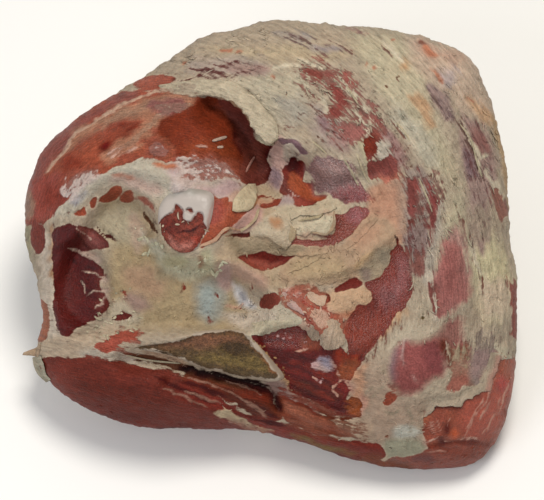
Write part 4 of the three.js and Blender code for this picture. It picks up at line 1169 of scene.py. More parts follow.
# %% Fibres, flakes, crumbs and grains
# Length and width of a mark in mm, detail.
FIBRE_PATTERNS = {"streak": (26, 4.2, 3), "flake": (8, 2.4, 4), "fibre": (11, 1.0, 2)}
# Size of a mark in mm, detail.
EVEN_PATTERNS = {"cloud": (24, 3), "crumb": (5.5, 5), "grain": (1.4, 2), "glint_speck": (1.1, 1)}


def draw_patterns(tree, read):
    """Each pattern by name, and unfibrous, which is 1 minus the systems' weights."""
    weights = add(tree, "ShaderNodeSeparateColor", {"Color": read["system"]}).outputs
    unfibrous = 1.0
    for number in range(3):
        unfibrous = add(tree, MATH, {0: unfibrous, 1: weights[number]}, operation="SUBTRACT")
    pattern = {"unfibrous": unfibrous}
    for mark, (long_mm, wide_mm, detail) in FIBRE_PATTERNS.items():
        size = (1 / long_mm, 1 / wide_mm, 1 / wide_mm)
        terms = []
        for number, attribute in enumerate(FIBRE_SYSTEMS):
            on_fibre = add(tree, "ShaderNodeAttribute", attribute_name=attribute).outputs["Vector"]
            stretched = add(tree, SCALED, {0: on_fibre, 1: size}, operation="MULTIPLY")
            drawn = {"Vector": stretched, "Scale": 1.0, "Detail": detail, "Roughness": 0.6}
            terms.append((add(tree, NOISE, drawn), weights[number]))
        even = {"Vector": read["position"], "Scale": 1000 / (wide_mm * 2.4)}
        even |= {"Detail": detail, "Roughness": 0.6}
        even = add(tree, RANGE, {"Value": add(tree, NOISE, even), TO_LOW: 0.22, TO_HIGH: 0.78})
        pattern[mark] = weighed(tree, 0.0, terms + [(even, unfibrous)])
    for mark, (size_mm, detail) in EVEN_PATTERNS.items():
        drawn = {"Vector": read["position"], "Scale": 1000 / size_mm, "Detail": detail, "Roughness": 0.55}
        pattern[mark] = add(tree, NOISE, drawn)
    return pattern


print(len(FIBRE_PATTERNS), "patterns along the fibres,", len(EVEN_PATTERNS), "even ones")

# %% [markdown]
# Fat meets lean in a torn border, and where fat is worn thin the lean shows in small windows
# between its flakes. Both are thresholds on the same patterns, so that they look like one tissue.

# %% Border and windows


def border_and_windows(tree, read, pattern):
    """border = edge + fray times the patterns' pull, in mm; mask, which is 1 in the fat; window,
    which is near 1 where worn fat is open."""
    streak, flake, crumb = (pattern[key] for key in ("streak", "flake", "crumb"))
    pull = weighed(tree, -6.5, ((streak, 5.0), (flake, 5.0), (crumb, 3.0)))
    border = add(tree, MATH, {0: pull, 1: read["fray"], 2: read["edge"]}, operation="MULTIPLY_ADD")
    crispness = add(tree, MATH, {0: border, 1: read["blur"]}, operation="DIVIDE")
    step = {"Value": crispness, FROM_LOW: -1.0, FROM_HIGH: 1.0}
    mask = add(tree, RANGE, step, interpolation_type="SMOOTHSTEP")
    beside = {"Value": border, FROM_LOW: 0.0, FROM_HIGH: 5.0, TO_LOW: 0.2, TO_HIGH: 0.0}
    level = add(tree, MATH, {0: read["worn"], 1: add(tree, RANGE, beside)}, operation="ADD")
    level = add(tree, RANGE, {"Value": level, TO_LOW: 0.3, TO_HIGH: 0.7})
    level = weighed(tree, level, ((streak, -0.35), (flake, -0.4), (crumb, -0.25)))
    step = {"Value": level, FROM_LOW: -0.05, FROM_HIGH: 0.05, TO_HIGH: 0.8}
    return border, mask, add(tree, RANGE, step, interpolation_type="SMOOTHSTEP")


# %% [markdown]
# Lean is mottled, with darker and paler fibres and grains, and a few pale specks that are partly
# flecks and partly painted glints. Fat has pale flakes with darker grooves between, crumbs, and
# warmer clouds. At the border the lean is painted a little darker as shade, and the fat's edge
# paler, partly its own whiter rim and partly a painted highlight.

# %% Colours of lean and fat
GLINT_SPECK_COLOUR = (*srgb("#c8988c"), 1.0)
WARM_FAT = (1.0, 0.9, 0.84, 1.0)


def tissue_colour(tree, read, pattern, border, mask, window):
    """Shaded lean, shaded fat, lean again in the fat's windows, and the mask between them."""
    cloud, fibre, streak, crumb, grain, flake = (
        pattern[key] for key in ("cloud", "fibre", "streak", "crumb", "grain", "flake")
    )
    # Painted shade: the lean is darkened a little next to the fat's border.
    lean_side = shaded(tree, read["lean"], (
        (cloud, 0.3, 0.7, 0.84, 1.14), (fibre, 0.3, 0.7, 0.74, 1.26), (streak, 0.3, 0.7, 0.86, 1.14),
        (crumb, 0.3, 0.7, 0.88, 1.12), (grain, 0.25, 0.75, 0.7, 1.3), (border, -1.0, 0.0, 1.0, 0.96),
    ))
    # Pale specks on the lean: partly tiny flecks, partly painted glints of its wetness.
    glint_specks = add(tree, RANGE, {"Value": pattern["glint_speck"], FROM_LOW: 0.74, FROM_HIGH: 0.8, TO_HIGH: 0.35})
    lean_side = blended(tree, glint_specks, lean_side, GLINT_SPECK_COLOUR)
    # The fat is painted paler next to its border: partly its own whiter rim, partly a painted highlight.
    fat_side = shaded(tree, read["fat"], (
        (flake, 0.36, 0.62, 0.82, 1.14), (streak, 0.3, 0.7, 0.92, 1.08), (crumb, 0.3, 0.7, 0.88, 1.12),
        (grain, 0.25, 0.75, 0.93, 1.07), (border, 0.1, 1.6, 1.2, 1.0),
        (pattern["unfibrous"], 0.0, 0.8, 1.0, 1.03),
    ))
    warmth = add(tree, RANGE, {"Value": cloud, FROM_LOW: 0.45, FROM_HIGH: 0.8, TO_HIGH: 0.35})
    fat_side = blended(tree, warmth, fat_side, WARM_FAT, blend_type="MULTIPLY")
    return blended(tree, mask, lean_side, blended(tree, window, fat_side, lean_side))


# %% [markdown]
# Wet lean is the shiniest and fat the dullest. The relief finer than the mesh is a bump in
# millimetres: fat stands proud and flakes, lean ripples in fibres, and wet lean is beaded.

# %% Sheen and fine relief


def tissue_finish(tree, shader, read, pattern, mask, window):
    """Roughness = 0.46 to 0.58 from lean to fat, less 0.28 where wet, and a bump from weighed
    patterns."""
    fibre, crumb, grain = (pattern[key] for key in ("fibre", "crumb", "grain"))
    dry = add(tree, RANGE, {"Value": mask, TO_LOW: 0.46, TO_HIGH: 0.58})
    moist = weighed(tree, dry, ((read["wet"], -0.28),))
    uneven = {"Value": crumb, FROM_LOW: 0.3, FROM_HIGH: 0.7, TO_LOW: -0.06, TO_HIGH: 0.1}
    roughness = add(tree, MATH, {0: moist, 1: add(tree, RANGE, uneven)}, operation="ADD")
    sheen = add(tree, RANGE, {"Value": read["wet"], TO_LOW: 0.12, TO_HIGH: 1.0})
    fat_relief = weighed(
        tree, -1.75, ((pattern["flake"], 2.0), (crumb, 1.5), (pattern["streak"], 0.8), (window, -0.3))
    )
    beads = add(tree, MATH, {0: grain, 1: read["wet"]}, operation="MULTIPLY")
    lean_relief = weighed(tree, -1.0, ((fibre, 0.6), (grain, 0.6), (crumb, 0.8), (beads, 1.3)))
    height = weighed(tree, lean_relief, ((fat_relief, mask),))
    bump = add(tree, "ShaderNodeBump", {"Height": height, "Strength": 1.0, "Distance": MM})
    for made, socket in ((roughness, "Roughness"), (sheen, "Specular IOR Level"), (bump, "Normal")):
        tree.links.new(made.outputs[0], shader.inputs[socket])


# %% [markdown]
# Put together, these make one material for the flesh of the whole leg.

# %% Moist raw muscle and fat


def new_material(name, **sockets):
    """A material with the shader's own sockets set; gives it, its node tree and its shader."""
    material = bpy.data.materials.new(name)
    material.use_nodes = True
    shader = material.node_tree.nodes["Principled BSDF"]
    for socket, value in sockets.items():
        shader.inputs[socket.replace("_", " ")].default_value = value
    return material, material.node_tree, shader


def tissue_material(name):
    """Water and fat at the surface give an IOR of 1.42; a little light spreads inside, red most."""
    material, tree, shader = new_material(
        name, IOR=1.42, Subsurface_Weight=0.06, Subsurface_Radius=(1.0, 0.4, 0.25), Subsurface_Scale=0.003
    )
    read = read_painting(tree)
    pattern = draw_patterns(tree, read)
    border, mask, window = border_and_windows(tree, read, pattern)
    colour = tissue_colour(tree, read, pattern, border, mask, window)
    tree.links.new(colour, shader.inputs["Base Color"])
    tissue_finish(tree, shader, read, pattern, mask, window)
    return material


tissue = tissue_material("moist_raw_muscle_and_fat")
print("tissue material:", len(tissue.node_tree.nodes), "nodes")

# %% [markdown]
# The body's mesh is one closed surface. A square grid, bent so that its border falls on the rim, is
# the boned side. Its rows are spaced evenly along the dome, so that the steep shoulders get as
# many faces as the middle. Rings that thin out towards the pole close the outer side.

# %% Mesh and attribute helpers


def finished_piece(name, points_mm, faces, material):
    """Makes a shaded mesh object at the origin from mm points, riding on the one body."""
    mesh = bpy.data.meshes.new(name)
    mesh.from_pydata((points_mm * MM).tolist(), [], faces)
    mesh.polygons.foreach_set("use_smooth", np.ones(len(mesh.polygons), bool))
    mesh.materials.append(material)
    piece = bpy.data.objects.new(name, mesh)
    bpy.context.scene.collection.objects.link(piece)
    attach(piece, "root")
    triangles = sum(len(p.vertices) - 2 for p in mesh.polygons)
    print(name, triangles, "triangles")
    return piece


def store(mesh, name, kind, values):
    """Keeps one value for each vertex under a name that the material reads."""
    field = {"FLOAT": "value", "FLOAT_COLOR": "color", "FLOAT_VECTOR": "vector"}[kind]
    if kind == "FLOAT_COLOR":
        values = np.concatenate([values, np.ones((len(values), 1))], 1)
    if kind == "FLOAT_VECTOR":
        values = np.concatenate([values, np.zeros((len(values), 1))], 1)
    layer = mesh.attributes.new(name, kind, "POINT")
    layer.data.foreach_set(field, np.ascontiguousarray(values, dtype=np.float32).ravel())


def store_tissue(mesh, tissues, directions):
    """Keeps the painting and the fibre systems on a mesh."""
    for name in PAINTED_VALUES:
        store(mesh, name, "FLOAT", tissues[name])
    for name in ("lean", "fat"):
        store(mesh, name, "FLOAT_COLOR", tissues[name])
    for name, values in zip(FIBRE_SYSTEMS, directions[:3]):
        store(mesh, name, "FLOAT_VECTOR", values)
    store(mesh, "system", "FLOAT_COLOR", directions[3])


def square_disc(side):
    """u, v on a square grid bent to a disc by u sqrt(1 - v^2/2), v sqrt(1 - u^2/2): the distance
    from its middle and the angle of each point."""
    line = np.linspace(-1, 1, side)
    v, u = np.meshgrid(line, line, indexing="ij")
    disc_x, disc_y = u * np.sqrt(1 - v**2 / 2), v * np.sqrt(1 - u**2 / 2)
    return np.hypot(disc_x, disc_y).ravel(), np.arctan2(disc_y, disc_x).ravel()


def square_faces(side):
    """The faces of a square grid of vertices, and the numbers of its border in order."""
    number = np.arange(side * side).reshape(side, side)
    quads = np.stack([number[:-1, :-1], number[:-1, 1:], number[1:, 1:], number[1:, :-1]], -1)
    rim = np.concatenate([number[0, :-1], number[:-1, -1], number[-1, :0:-1], number[:0:-1, 0]])
    return quads.reshape(-1, 4).tolist(), rim


print("attributes for each mesh:", len(PAINTED_VALUES) + len(PAINTED_COLOURS) + len(FIBRE_SYSTEMS))

# %% [markdown]
# The boned side and the outer side are made apart and share the vertices of the rim. The skin's
# small lumps are true shape. The bones get a recess, so that no flesh shows through them.

# %% The two sides of the body
GRID = 273
FULL_RINGS, HALF_RINGS, QUARTER_RINGS = 14, 6, 5
FAT_THICKNESS, BONE_RECESS, RIM_TEAR = 0.9, 9, 1.1
FADE_MM = 34
OUTER_FAT = srgb("#a39682")
OUTER_LEAN = srgb("#86584c")


def even_shares(height_at, steps=3000, reach=190.0):
    """A table from the share of the walk over a dome to the share of its radius."""
    share = np.sin(np.linspace(0, math.pi / 2, steps))
    walked = np.concatenate([[0], np.cumsum(np.hypot(np.diff(share) * reach, np.diff(height_at(share))))])
    return walked / walked[-1], share, walked[-1]


def ring_faces(outer, inner):
    """Faces between two rings of vertex numbers, of equal counts or two to one."""
    after = np.roll(inner, -1)
    if len(outer) == len(inner):
        return np.stack([outer, inner, after, np.roll(outer, -1)], -1).tolist()
    a, b, c = outer[::2], outer[1::2], np.roll(outer[::2], -1)
    triples = ((a, inner, b), (b, inner, after), (b, after, c))
    return np.concatenate([np.stack(triple, -1) for triple in triples]).tolist()


def skin_relief(x, y, directions, fat_side):
    """Lumps of two sizes and ripples along the fibres, in mm; fat is rougher than lean."""
    ripple = sum(
        directions[3][:, i] * rough_noise(directions[i][:, 0] / 18, directions[i][:, 1] / 4.0, i, 2)
        for i in range(3)
    )
    lumps = rough_noise(x / 15, y / 15, 5, 3)
    lumps = lumps + (0.3 + 0.6 * fat_side) * rough_noise(x / 5.5, y / 5.5, 2, 2)
    return lumps + (0.35 + 0.75 * fat_side) * ripple


def boned_side():
    """The grid's points, faces, rim, angles at the rim, tissue and fibres. Its height is the dome
    plus the relief, the fat's thickness and the skin, less the recesses under the bones."""
    walk, angle = square_disc(GRID)
    walked, share_at, _ = even_shares(front_dome)
    share = np.interp(walk, walked, share_at)
    radius = share * outline_radius(angle)
    x, y = radius * np.cos(angle), radius * np.sin(angle)
    faces, rim = square_faces(GRID)
    tissues = paint(x, y)
    directions = fibres(x, y)
    fade = 1 - share**RIM_FADE
    fat_side = smoothstep(0.5 + tissues["edge"] / 2.5)
    skin = skin_relief(x, y, directions, fat_side)
    sunk = np.zeros(len(x))
    for outline in (ILIUM_OUTLINE, SYMPHYSIS_OUTLINE):
        within = inside_distance(x, y, smooth_curve(outline, True, 5))
        sunk += BONE_RECESS * smoothstep((within - 1.0) / 2.5)
    height = front_dome(share) + fade * (relief(x, y) + FAT_THICKNESS * fat_side + skin - sunk)
    torn_rim = RIM_TEAR * rough_noise(x / 3.6, y / 3.6, 7, 2) * share**24
    outward = 1 + (skin * share**8 + torn_rim) / np.maximum(radius, 1)
    return place(x * outward, y * outward, height), faces, rim, angle[rim], tissues, directions


def outer_side(start, rim, rim_angle):
    """Rings from the rim to the pole: points, faces, and for each point its angle and how far
    beyond the rim it lies along the skin."""
    points, faces = [], []
    walked, back_share, length = even_shares(back_dome)
    counts = [1] * FULL_RINGS + [2] * HALF_RINGS + [4] * QUARTER_RINGS
    outer, extra = rim, []
    for i, thin in enumerate(counts):
        step = (i + 1) / (len(counts) + 1)
        s = np.interp(1 - step, walked, back_share)
        turn = rim_angle[::thin]
        r = s * outline_radius(turn)
        far = outline_radius(turn) + step * length
        away_x, away_y = far * np.cos(turn), far * np.sin(turn)
        skin = skin_relief(away_x, away_y, fibres(away_x, away_y), np.ones(len(turn)))
        skin += 2.2 * rough_noise(away_x / 38, away_y / 38, 4, 2) * min(1, step * 6)
        r = r + skin * s**4
        points.append(place(r * np.cos(turn), r * np.sin(turn), back_dome(s) - skin * (1 - s**4)))
        inner = start + np.arange(len(turn))
        faces += ring_faces(outer, inner)
        extra.append((turn, np.full(len(turn), step * length)))
        start, outer = start + len(turn), inner
    points.append(place(np.zeros(1), np.zeros(1), np.full(1, -BACK_DEPTH)))
    extra.append((np.zeros(1), np.full(1, length)))
    faces += np.stack([np.roll(outer, -1), outer, np.full(len(outer), start)], -1).tolist()

    turn, beyond = (np.concatenate(parts) for parts in zip(*extra))
    return np.concatenate(points), faces, turn, beyond


def outer_tissue(turn, beyond):
    """The rim's tissue, which fades over FADE_MM of skin into a plain fat cover with windows."""
    rim_r = outline_radius(turn)
    back = paint(rim_r * 0.985 * np.cos(turn), rim_r * 0.985 * np.sin(turn))
    out_x, out_y = (rim_r + beyond) * np.cos(turn), (rim_r + beyond) * np.sin(turn)
    plain = smoothstep((beyond - 4) / FADE_MM)
    island = 3.5 + 9 * rough_noise(out_x / 60, out_y / 60, 6, 2)
    for key, value in (("edge", island), ("fray", 1.5), ("blur", 2.5), ("wet", 0.0), ("worn", 0.25)):
        back[key] = back[key] * (1 - plain) + value * plain
    for key, plain_colour in (("fat", OUTER_FAT), ("lean", OUTER_LEAN)):
        back[key] = back[key] * (1 - plain[:, None]) + plain_colour * plain[:, None]
    return back, fibres(out_x, out_y)


# %% [markdown]
# Joined, the two sides are one closed surface, which takes the place of the model's solid.

# %% The body
front_points, front_faces, rim, rim_angle, front_tissue, front_fibres = boned_side()
back_points, back_faces, turn, beyond = outer_side(len(front_points), rim, rim_angle)
back_tissue, back_fibres = outer_tissue(turn, beyond)
body_points = np.concatenate([front_points, back_points])
body = finished_piece("meat_body", body_points, front_faces + back_faces, tissue)
body_tissue = {key: np.concatenate([front_tissue[key], back_tissue[key]]) for key in front_tissue}
store_tissue(body.data, body_tissue, tuple(np.concatenate(pair) for pair in zip(front_fibres, back_fibres)))
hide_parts("meat")

# %% [markdown]
# Torn things stand off the surface: the thick lip of the fat cover over the cleft, flaps, tags,
# shreds and threads. Each is a leaf: a sheet between two curves on the face plane, thick in the
# middle and thin at its borders. All leaves share one closed-surface recipe and one mesh.

# %% Leaves
leaf_points, leaf_faces, leaf_tissues, leaf_directions = [], [], [], []
leaf_total = 0
LEAF_SHADE = 0.86


def resampled(points, count, crisp=False):
    """A smooth curve through the points, or with crisp the straight lines between them, at evenly
    spaced lengths along it."""
    curve = dots(points) if crisp else smooth_curve(points, False, 12)
    walked = np.concatenate([[0], np.cumsum(np.linalg.norm(np.diff(curve[:, :2], axis=0), axis=1))])
    even = np.linspace(0, walked[-1], count)
    return np.stack([np.interp(even, walked, curve[:, i]) for i in range(curve.shape[1])], -1)


def leaves(
    a, b, thickness, arch=0.0, ragged=0.0, seed=0, hinge=False, across=7, colour=None, edge=8.0, wet=None,
    shades=None,
):
    """Sheets between curves a and b (leaf, step, x y lift): straight across, arched by
    4 s (1 - s), and thick by (1 - |2s - 1|^3)^(1/2) both ways. Heights count from the surface
    under each point, or with hinge from the surface under curve a."""
    global leaf_total
    count, steps = a.shape[:2]
    if ragged:
        reach = (b - a)[..., :2]
        unit = reach / np.maximum(np.linalg.norm(reach, axis=-1, keepdims=True), 1e-6)
        wave = rough_noise(b[..., 0] / 4 + seed, b[..., 1] / 4, seed % 5, 4)
        b = np.concatenate([b[..., :2] + unit * (ragged * wave)[..., None], b[..., 2:]], -1)
    s = (0.5 - 0.5 * np.cos(np.linspace(0, math.pi, across)))[None, None, :, None]
    mid = a[:, :, None, :] * (1 - s) + b[:, :, None, :] * s
    x, y, lift = mid[..., 0], mid[..., 1], mid[..., 2] + arch * (4 * s * (1 - s))[..., 0]
    if hinge:
        under = face_height(a[..., 0].ravel(), a[..., 1].ravel()).reshape(count, steps, 1)
        under = np.repeat(under, across, 2)
    else:
        under = face_height(x.ravel(), y.ravel()).reshape(x.shape)
    t = np.linspace(-1, 1, steps)[None, :, None]
    along = np.maximum(1 - np.abs(t) ** 3, 0)
    swell = np.sqrt(along) * np.sqrt(np.maximum(1 - np.abs(2 * s[..., 0] - 1) ** 3, 0))
    half = np.reshape(thickness, (-1, 1, 1)) / 2 * swell
    top = place(x, y, under + lift + half)
    low = place(x, y, under + lift - half)
    inner = np.zeros((steps, across), bool)
    inner[1:-1, 1:-1] = True
    upper = np.arange(steps * across).reshape(steps, across)
    lower = upper.copy()
    lower[inner] = steps * across + np.arange(inner.sum())
    quads = []
    for grid, order in ((upper, (0, 1, 2, 3)), (lower, (3, 2, 1, 0))):
        ring = [grid[:-1, :-1], grid[1:, :-1], grid[1:, 1:], grid[:-1, 1:]]
        quads.append(np.stack([ring[i] for i in order], -1).reshape(-1, 4))
    quads = np.concatenate(quads)
    each = steps * across + inner.sum()
    points = np.concatenate([top.reshape(count, -1, 3), low[:, inner]], 1)
    side = np.cross(top[0, 1, 1] - top[0, 0, 1], top[0, 0, 2] - top[0, 0, 1])
    if side @ (top[0, 1, 1] - low[0, 1, 1]) < 0:
        quads = quads[:, ::-1]
    numbers = quads[None] + (leaf_total + each * np.arange(count))[:, None, None]
    flat_x = np.concatenate([x.reshape(count, -1), x[:, inner]], 1).ravel()
    flat_y = np.concatenate([y.reshape(count, -1), y[:, inner]], 1).ravel()
    tissues = paint(flat_x, flat_y)
    if colour is not None:
        tissues["fat" if edge > 0 else "lean"][:] = srgb(colour) * LEAF_SHADE
    tissues["edge"][:] = edge
    if wet is not None:
        tissues["wet"][:] = wet
    tissues["worn"][:] = 0.0
    if shades is not None:
        each_point = np.repeat(shades, each)[:, None]
        tissues["fat"] = tissues["fat"] * each_point
        tissues["lean"] = tissues["lean"] * each_point
    leaf_points.append(points.reshape(-1, 3))
    leaf_faces.extend(numbers.reshape(-1, 4).tolist())
    leaf_tissues.append(tissues)
    leaf_directions.append(fibres(flat_x, flat_y))
    leaf_total += each * count


def flap(first, second, steps=48, crisp=False, **more):
    """One leaf between two given curves."""
    leaves(resampled(first, steps, crisp)[None], resampled(second, steps, crisp)[None], **more)


def thread(path, width=1.2, steps=24, **more):
    """One narrow leaf along a path of x, y, lift."""
    middle = resampled(path, steps)
    run = np.gradient(middle[:, :2], axis=0)
    beside = np.stack([-run[:, 1], run[:, 0]], -1) / np.linalg.norm(run, axis=1, keepdims=True)
    taper = np.sqrt(1 - np.linspace(-1, 1, steps) ** 4 * 0.9)[:, None] * width / 2
    a, b = middle.copy(), middle.copy()
    a[:, :2] -= beside * taper
    b[:, :2] += beside * taper
    more.setdefault("thickness", width * 0.8)
    leaves(a[None], b[None], across=5, **more)


# %% [markdown]
# The larger torn pieces are laid one by one, each between a curve where it is rooted and a curve
# where it is free. The third number of each point is its lift over the flesh, in millimetres.

# %% The thick lip over the cleft, and the flaps round the hollow
flap("-90,128,0.2 -76,130,0.5 -62,132,0.8 -45,132,1.2 -30,130,1.8 -16,121,2.5 -4,108,2.5 5,96,2 "
    "6,84,0.8", "-90,122,0.0 -76,121,0.3 -62,120,0.8 -48,119,2 -35,116.5,4 -26,110.5,6 -18.5,101,7 "
    "-12,90,6.5 -1,79,2.5", steps=128, thickness=3.2, arch=1.0, ragged=2.4, seed=3, hinge=True,
    across=13, colour="#bbad95")
flap("-14,94,6 -6,92,6 0,86,4 3,80,2", "-12.5,88,6.5 -11,84,6.5 -6,81,5 1,79,2.4", thickness=2.4,
    ragged=1.4, seed=9, colour="#b3a88e", hinge=True)
flap("-31,27,0.4 -30,36,0.6 -25,43,0.6 -18,49,0.4", "-27,26,0.8 -17,28,2.6 -11,37,3.0 -12,49,1.2",
    thickness=1.6, arch=1.2, ragged=1.0, seed=5, across=9, colour="#c2b193")
flap("-18,29,2.2 -15,34,3.0 -14,42,3.0 -15,48,1.5", "-14,29,1.6 -11,34,1.4 -11,42,1.2 -12.5,49,0.8",
    thickness=1.6, seed=4, colour="#ab7a58")
flap("-26,12,0.3 -20,15,0.6 -14,21,0.6 -11,29,0.4", "-24,10,1.4 -18,13.5,3.4 -11.5,20.5,3.6 "
    "-8.5,29,1.4", thickness=1.8, ragged=0.7, seed=6, across=9, colour="#b3a284")
flap("-57,0,0.3 -46,5,0.5 -36,14,0.5 -24,13,0.4", "-58,-2.5,0.5 -45,2,2.2 -35,11.5,2.4 -22,10.5,1.2",
    thickness=1.2, ragged=0.5, seed=7, across=7, colour="#b8947a")
flap("20,19,0.2 30,22,0.5 38,25,0.8 44,29,0.3", "20,18.5,0.4 31,20,2.6 38.5,21.5,2.8 43,26,1.0",
    thickness=1.8, ragged=0.5, seed=8, across=7, colour="#a99a7c")
flap("29,13,0.2 36,12,0.5 44,12,0.5 49,18,0.5 49.5,27,0.2", "28,11,0.4 36,8.6,2.6 45,7.5,3.0 "
    "51.5,15,2.8 51,27,1.0", thickness=2.0, ragged=0.5, seed=9, across=9, colour="#a58d73")
flap("8,8,0.2 14,12,0.4 16,16,0.3", "12,0,1.0 18,4,2.4 20.5,11,1.0", thickness=1.6, ragged=1.0, seed=2,
    across=9, colour="#a59276")

flap("-184,-78,0.5 -188,-82,1.5 -193,-84,2.5 -198,-86,3", "-186,-90,0.5 -191,-89,1.5 -195,-88.5,2.2 "
    "-199,-88,2.6", thickness=2.4, ragged=0.8, seed=11, colour="#b39a80")
flap("-191,-90,0 -190,-96,0.5 -187,-103,0.5 -180,-110,0", "-184,-88,0.5 -182,-95,1.4 -180,-102,1.2 "
    "-176,-108,0.4", thickness=2.4, ragged=0.8, seed=12, colour="#a8a08c")
flap("-20,-62,0.3 -4,-60,0.5 10,-58,0.5 26,-59,0.3", "-20,-73,0.6 -4,-72,1.8 7,-67,1.8 25,-64,0.8",
    thickness=1.8, ragged=2.2, seed=13, across=9, colour="#b5aa92")
flap("40,-64,0.3 45,-60,0.6 52,-59,0.6 58,-64,0.3", "39,-80,0.8 45,-85,2.2 53,-84,2.2 60,-78,0.6",
    thickness=1.3, ragged=1.6, seed=14, across=9, colour="#b8a28c")
flap("27,-62,0.3 33,-64,0.6 38,-68,0.4", "29,-71,0.6 33,-77,1.4 40,-77,0.6", thickness=0.9, ragged=1.6,
    seed=15, colour="#a5907c", crisp=True)
flap("117,-134,0.2 127,-123,0.4 147,-122,0.4 157,-115,0.4 169,-109,0.4 176,-86,0.4 190,-86,0.2",
    "122,-139,0.4 131,-130,1.2 151,-129,1.2 162,-121,1.2 176,-115,1.2 183,-91,1.2 194,-91,0.4",
    steps=120, thickness=0.7, ragged=2.8, seed=16, across=7, crisp=True)
flap("-17,13.6,0.4 -9,20,0.7 5.6,24.5,0.8 13.6,19,0.6", "-17,6.4,0.6 -2.4,6,2.0 6,-1,2.6 "
    "12,-4.5,2.8 16,1,2.0 18.6,7,1.0", thickness=1.0, ragged=1.5, seed=21, across=11, crisp=True,
    steps=64)
flap("18.4,15.2,0.4 33,21.6,0.7 49.6,25,0.5", "20,8.5,0.8 28,5.6,2.2 33,10.5,2.0 45.6,7.0,3.0 "
    "50.6,14,1.2", thickness=1.0, ragged=1.2, seed=22, across=9, crisp=True, steps=64)
flap("13,29,0.4 34,32,0.7 49,35,0.3", "16,20,1.2 27,24,2.0 39,23,2.6 53,29,1.2", thickness=0.9,
    ragged=1.6, seed=23, crisp=True, steps=64)
flap("5,-3,0.3 24,-3,0.6 42,-3.5,0.4", "7,-7,0.8 25,-9.5,1.8 40,-8,1.4", thickness=0.8, ragged=1.6,
    seed=24, crisp=True, steps=64)
flap("-2,-22,0.2 20,-14,0.5 44,0,0.3", "2,-27,0.6 16,-22.5,1.6 30,-17,1.4 46,-5,0.8", thickness=0.8,
    ragged=2.0, seed=25, crisp=True, steps=80)
flap("50,-1,0.2 64,8,0.5 82,26,0.3", "55,-6,0.6 66,0,1.4 78,11,1.6 87,22,0.8", thickness=0.8,
    ragged=2.0, seed=26, crisp=True, steps=80)
flap("26,-28,0.2 48,-24,0.4 70,-14,0.2", "28,-33,0.4 50,-31,1.2 72,-22,0.6", thickness=0.7, ragged=1.8,
    seed=27, crisp=True, steps=80)
flap("6,-36,0.3 14,-38,0.6 23,-45,0.4", "9,-45,0.6 18,-52,1.6 27,-57,0.8", thickness=0.7, ragged=1.4,
    seed=28, crisp=True, colour="#b39288", wet=0.4)
flap("27,-35,0.3 36,-36,0.6 45,-41,0.4", "29,-43,0.6 37,-48,1.8 43,-49,0.8", thickness=0.8, ragged=1.2,
    seed=29, crisp=True, colour="#c4a68e")
flap("24,-58,0.3 29,-62,0.6 35,-66,0.3", "20,-63,0.6 25,-68,1.4 33,-71,0.8", thickness=0.7, ragged=1.4,
    seed=30, crisp=True, colour="#bb9c88")
thread("-47,83,0.6 -35,86.5,0.8", 2.6, colour="#b8a090")
thread("-43,78,0.5 -38,78.4,0.6", 2.2, colour="#b8a090")
thread("-20,58,0.6 -17,64,2.0 -13,71,1.0", 2.0, colour="#ac7c70")
for strand in ("57,71,0.5 63,61,1.2 70,47,0.5", "66,80,0.5 71,66,1.4 77,52,0.6 84,44,0.2",
        "151,97,0.4 160,84,1.2 165,66,1.2 169,54,0.6", "33,83,0.4 40,77,1.0 46,71,0.3", "60,128,0.4 "
        "65,120,1.2 70,112,0.4", "118,54,0.3 124,40,1.0 129,26,0.3", "-118,-88,0.4 -100,-92,1.2 "
        "-72,-95,0.6", "100,98,0.3 107,90,1.0 113,80,0.3"):
    thread(strand, 1.6, colour="#b8ab90")

# %% [markdown]
# Torn fat and membrane are never smooth: hundreds of small flakes and shreds lie along the
# fibres with one end loose. We scatter small leaves over each zone, a few dozen faces each, with
# a fixed random seed, and turn each along the fibres under it.

# %% Scattered flakes and shreds
# A leaf starts at least this far inside the rim, so that it is rooted.
ROOT_MM = 1.8


def fibre_heading(x, y):
    """The direction of the strongest fibre system at each point, as an angle."""
    weights = fibres(x, y)[3]
    cover = np.arctan2(y - COVER_CENTRE[1], x - COVER_CENTRE[0]) + math.pi / 2
    rump = np.arctan2(y - RUMP_CENTRE[1], x - RUMP_CENTRE[0]) + math.pi / 2
    choices = np.stack([cover, rump, np.full(len(x), NEAR_EDGE_TURN)], -1)
    return choices[np.arange(len(x)), weights.argmax(-1)]


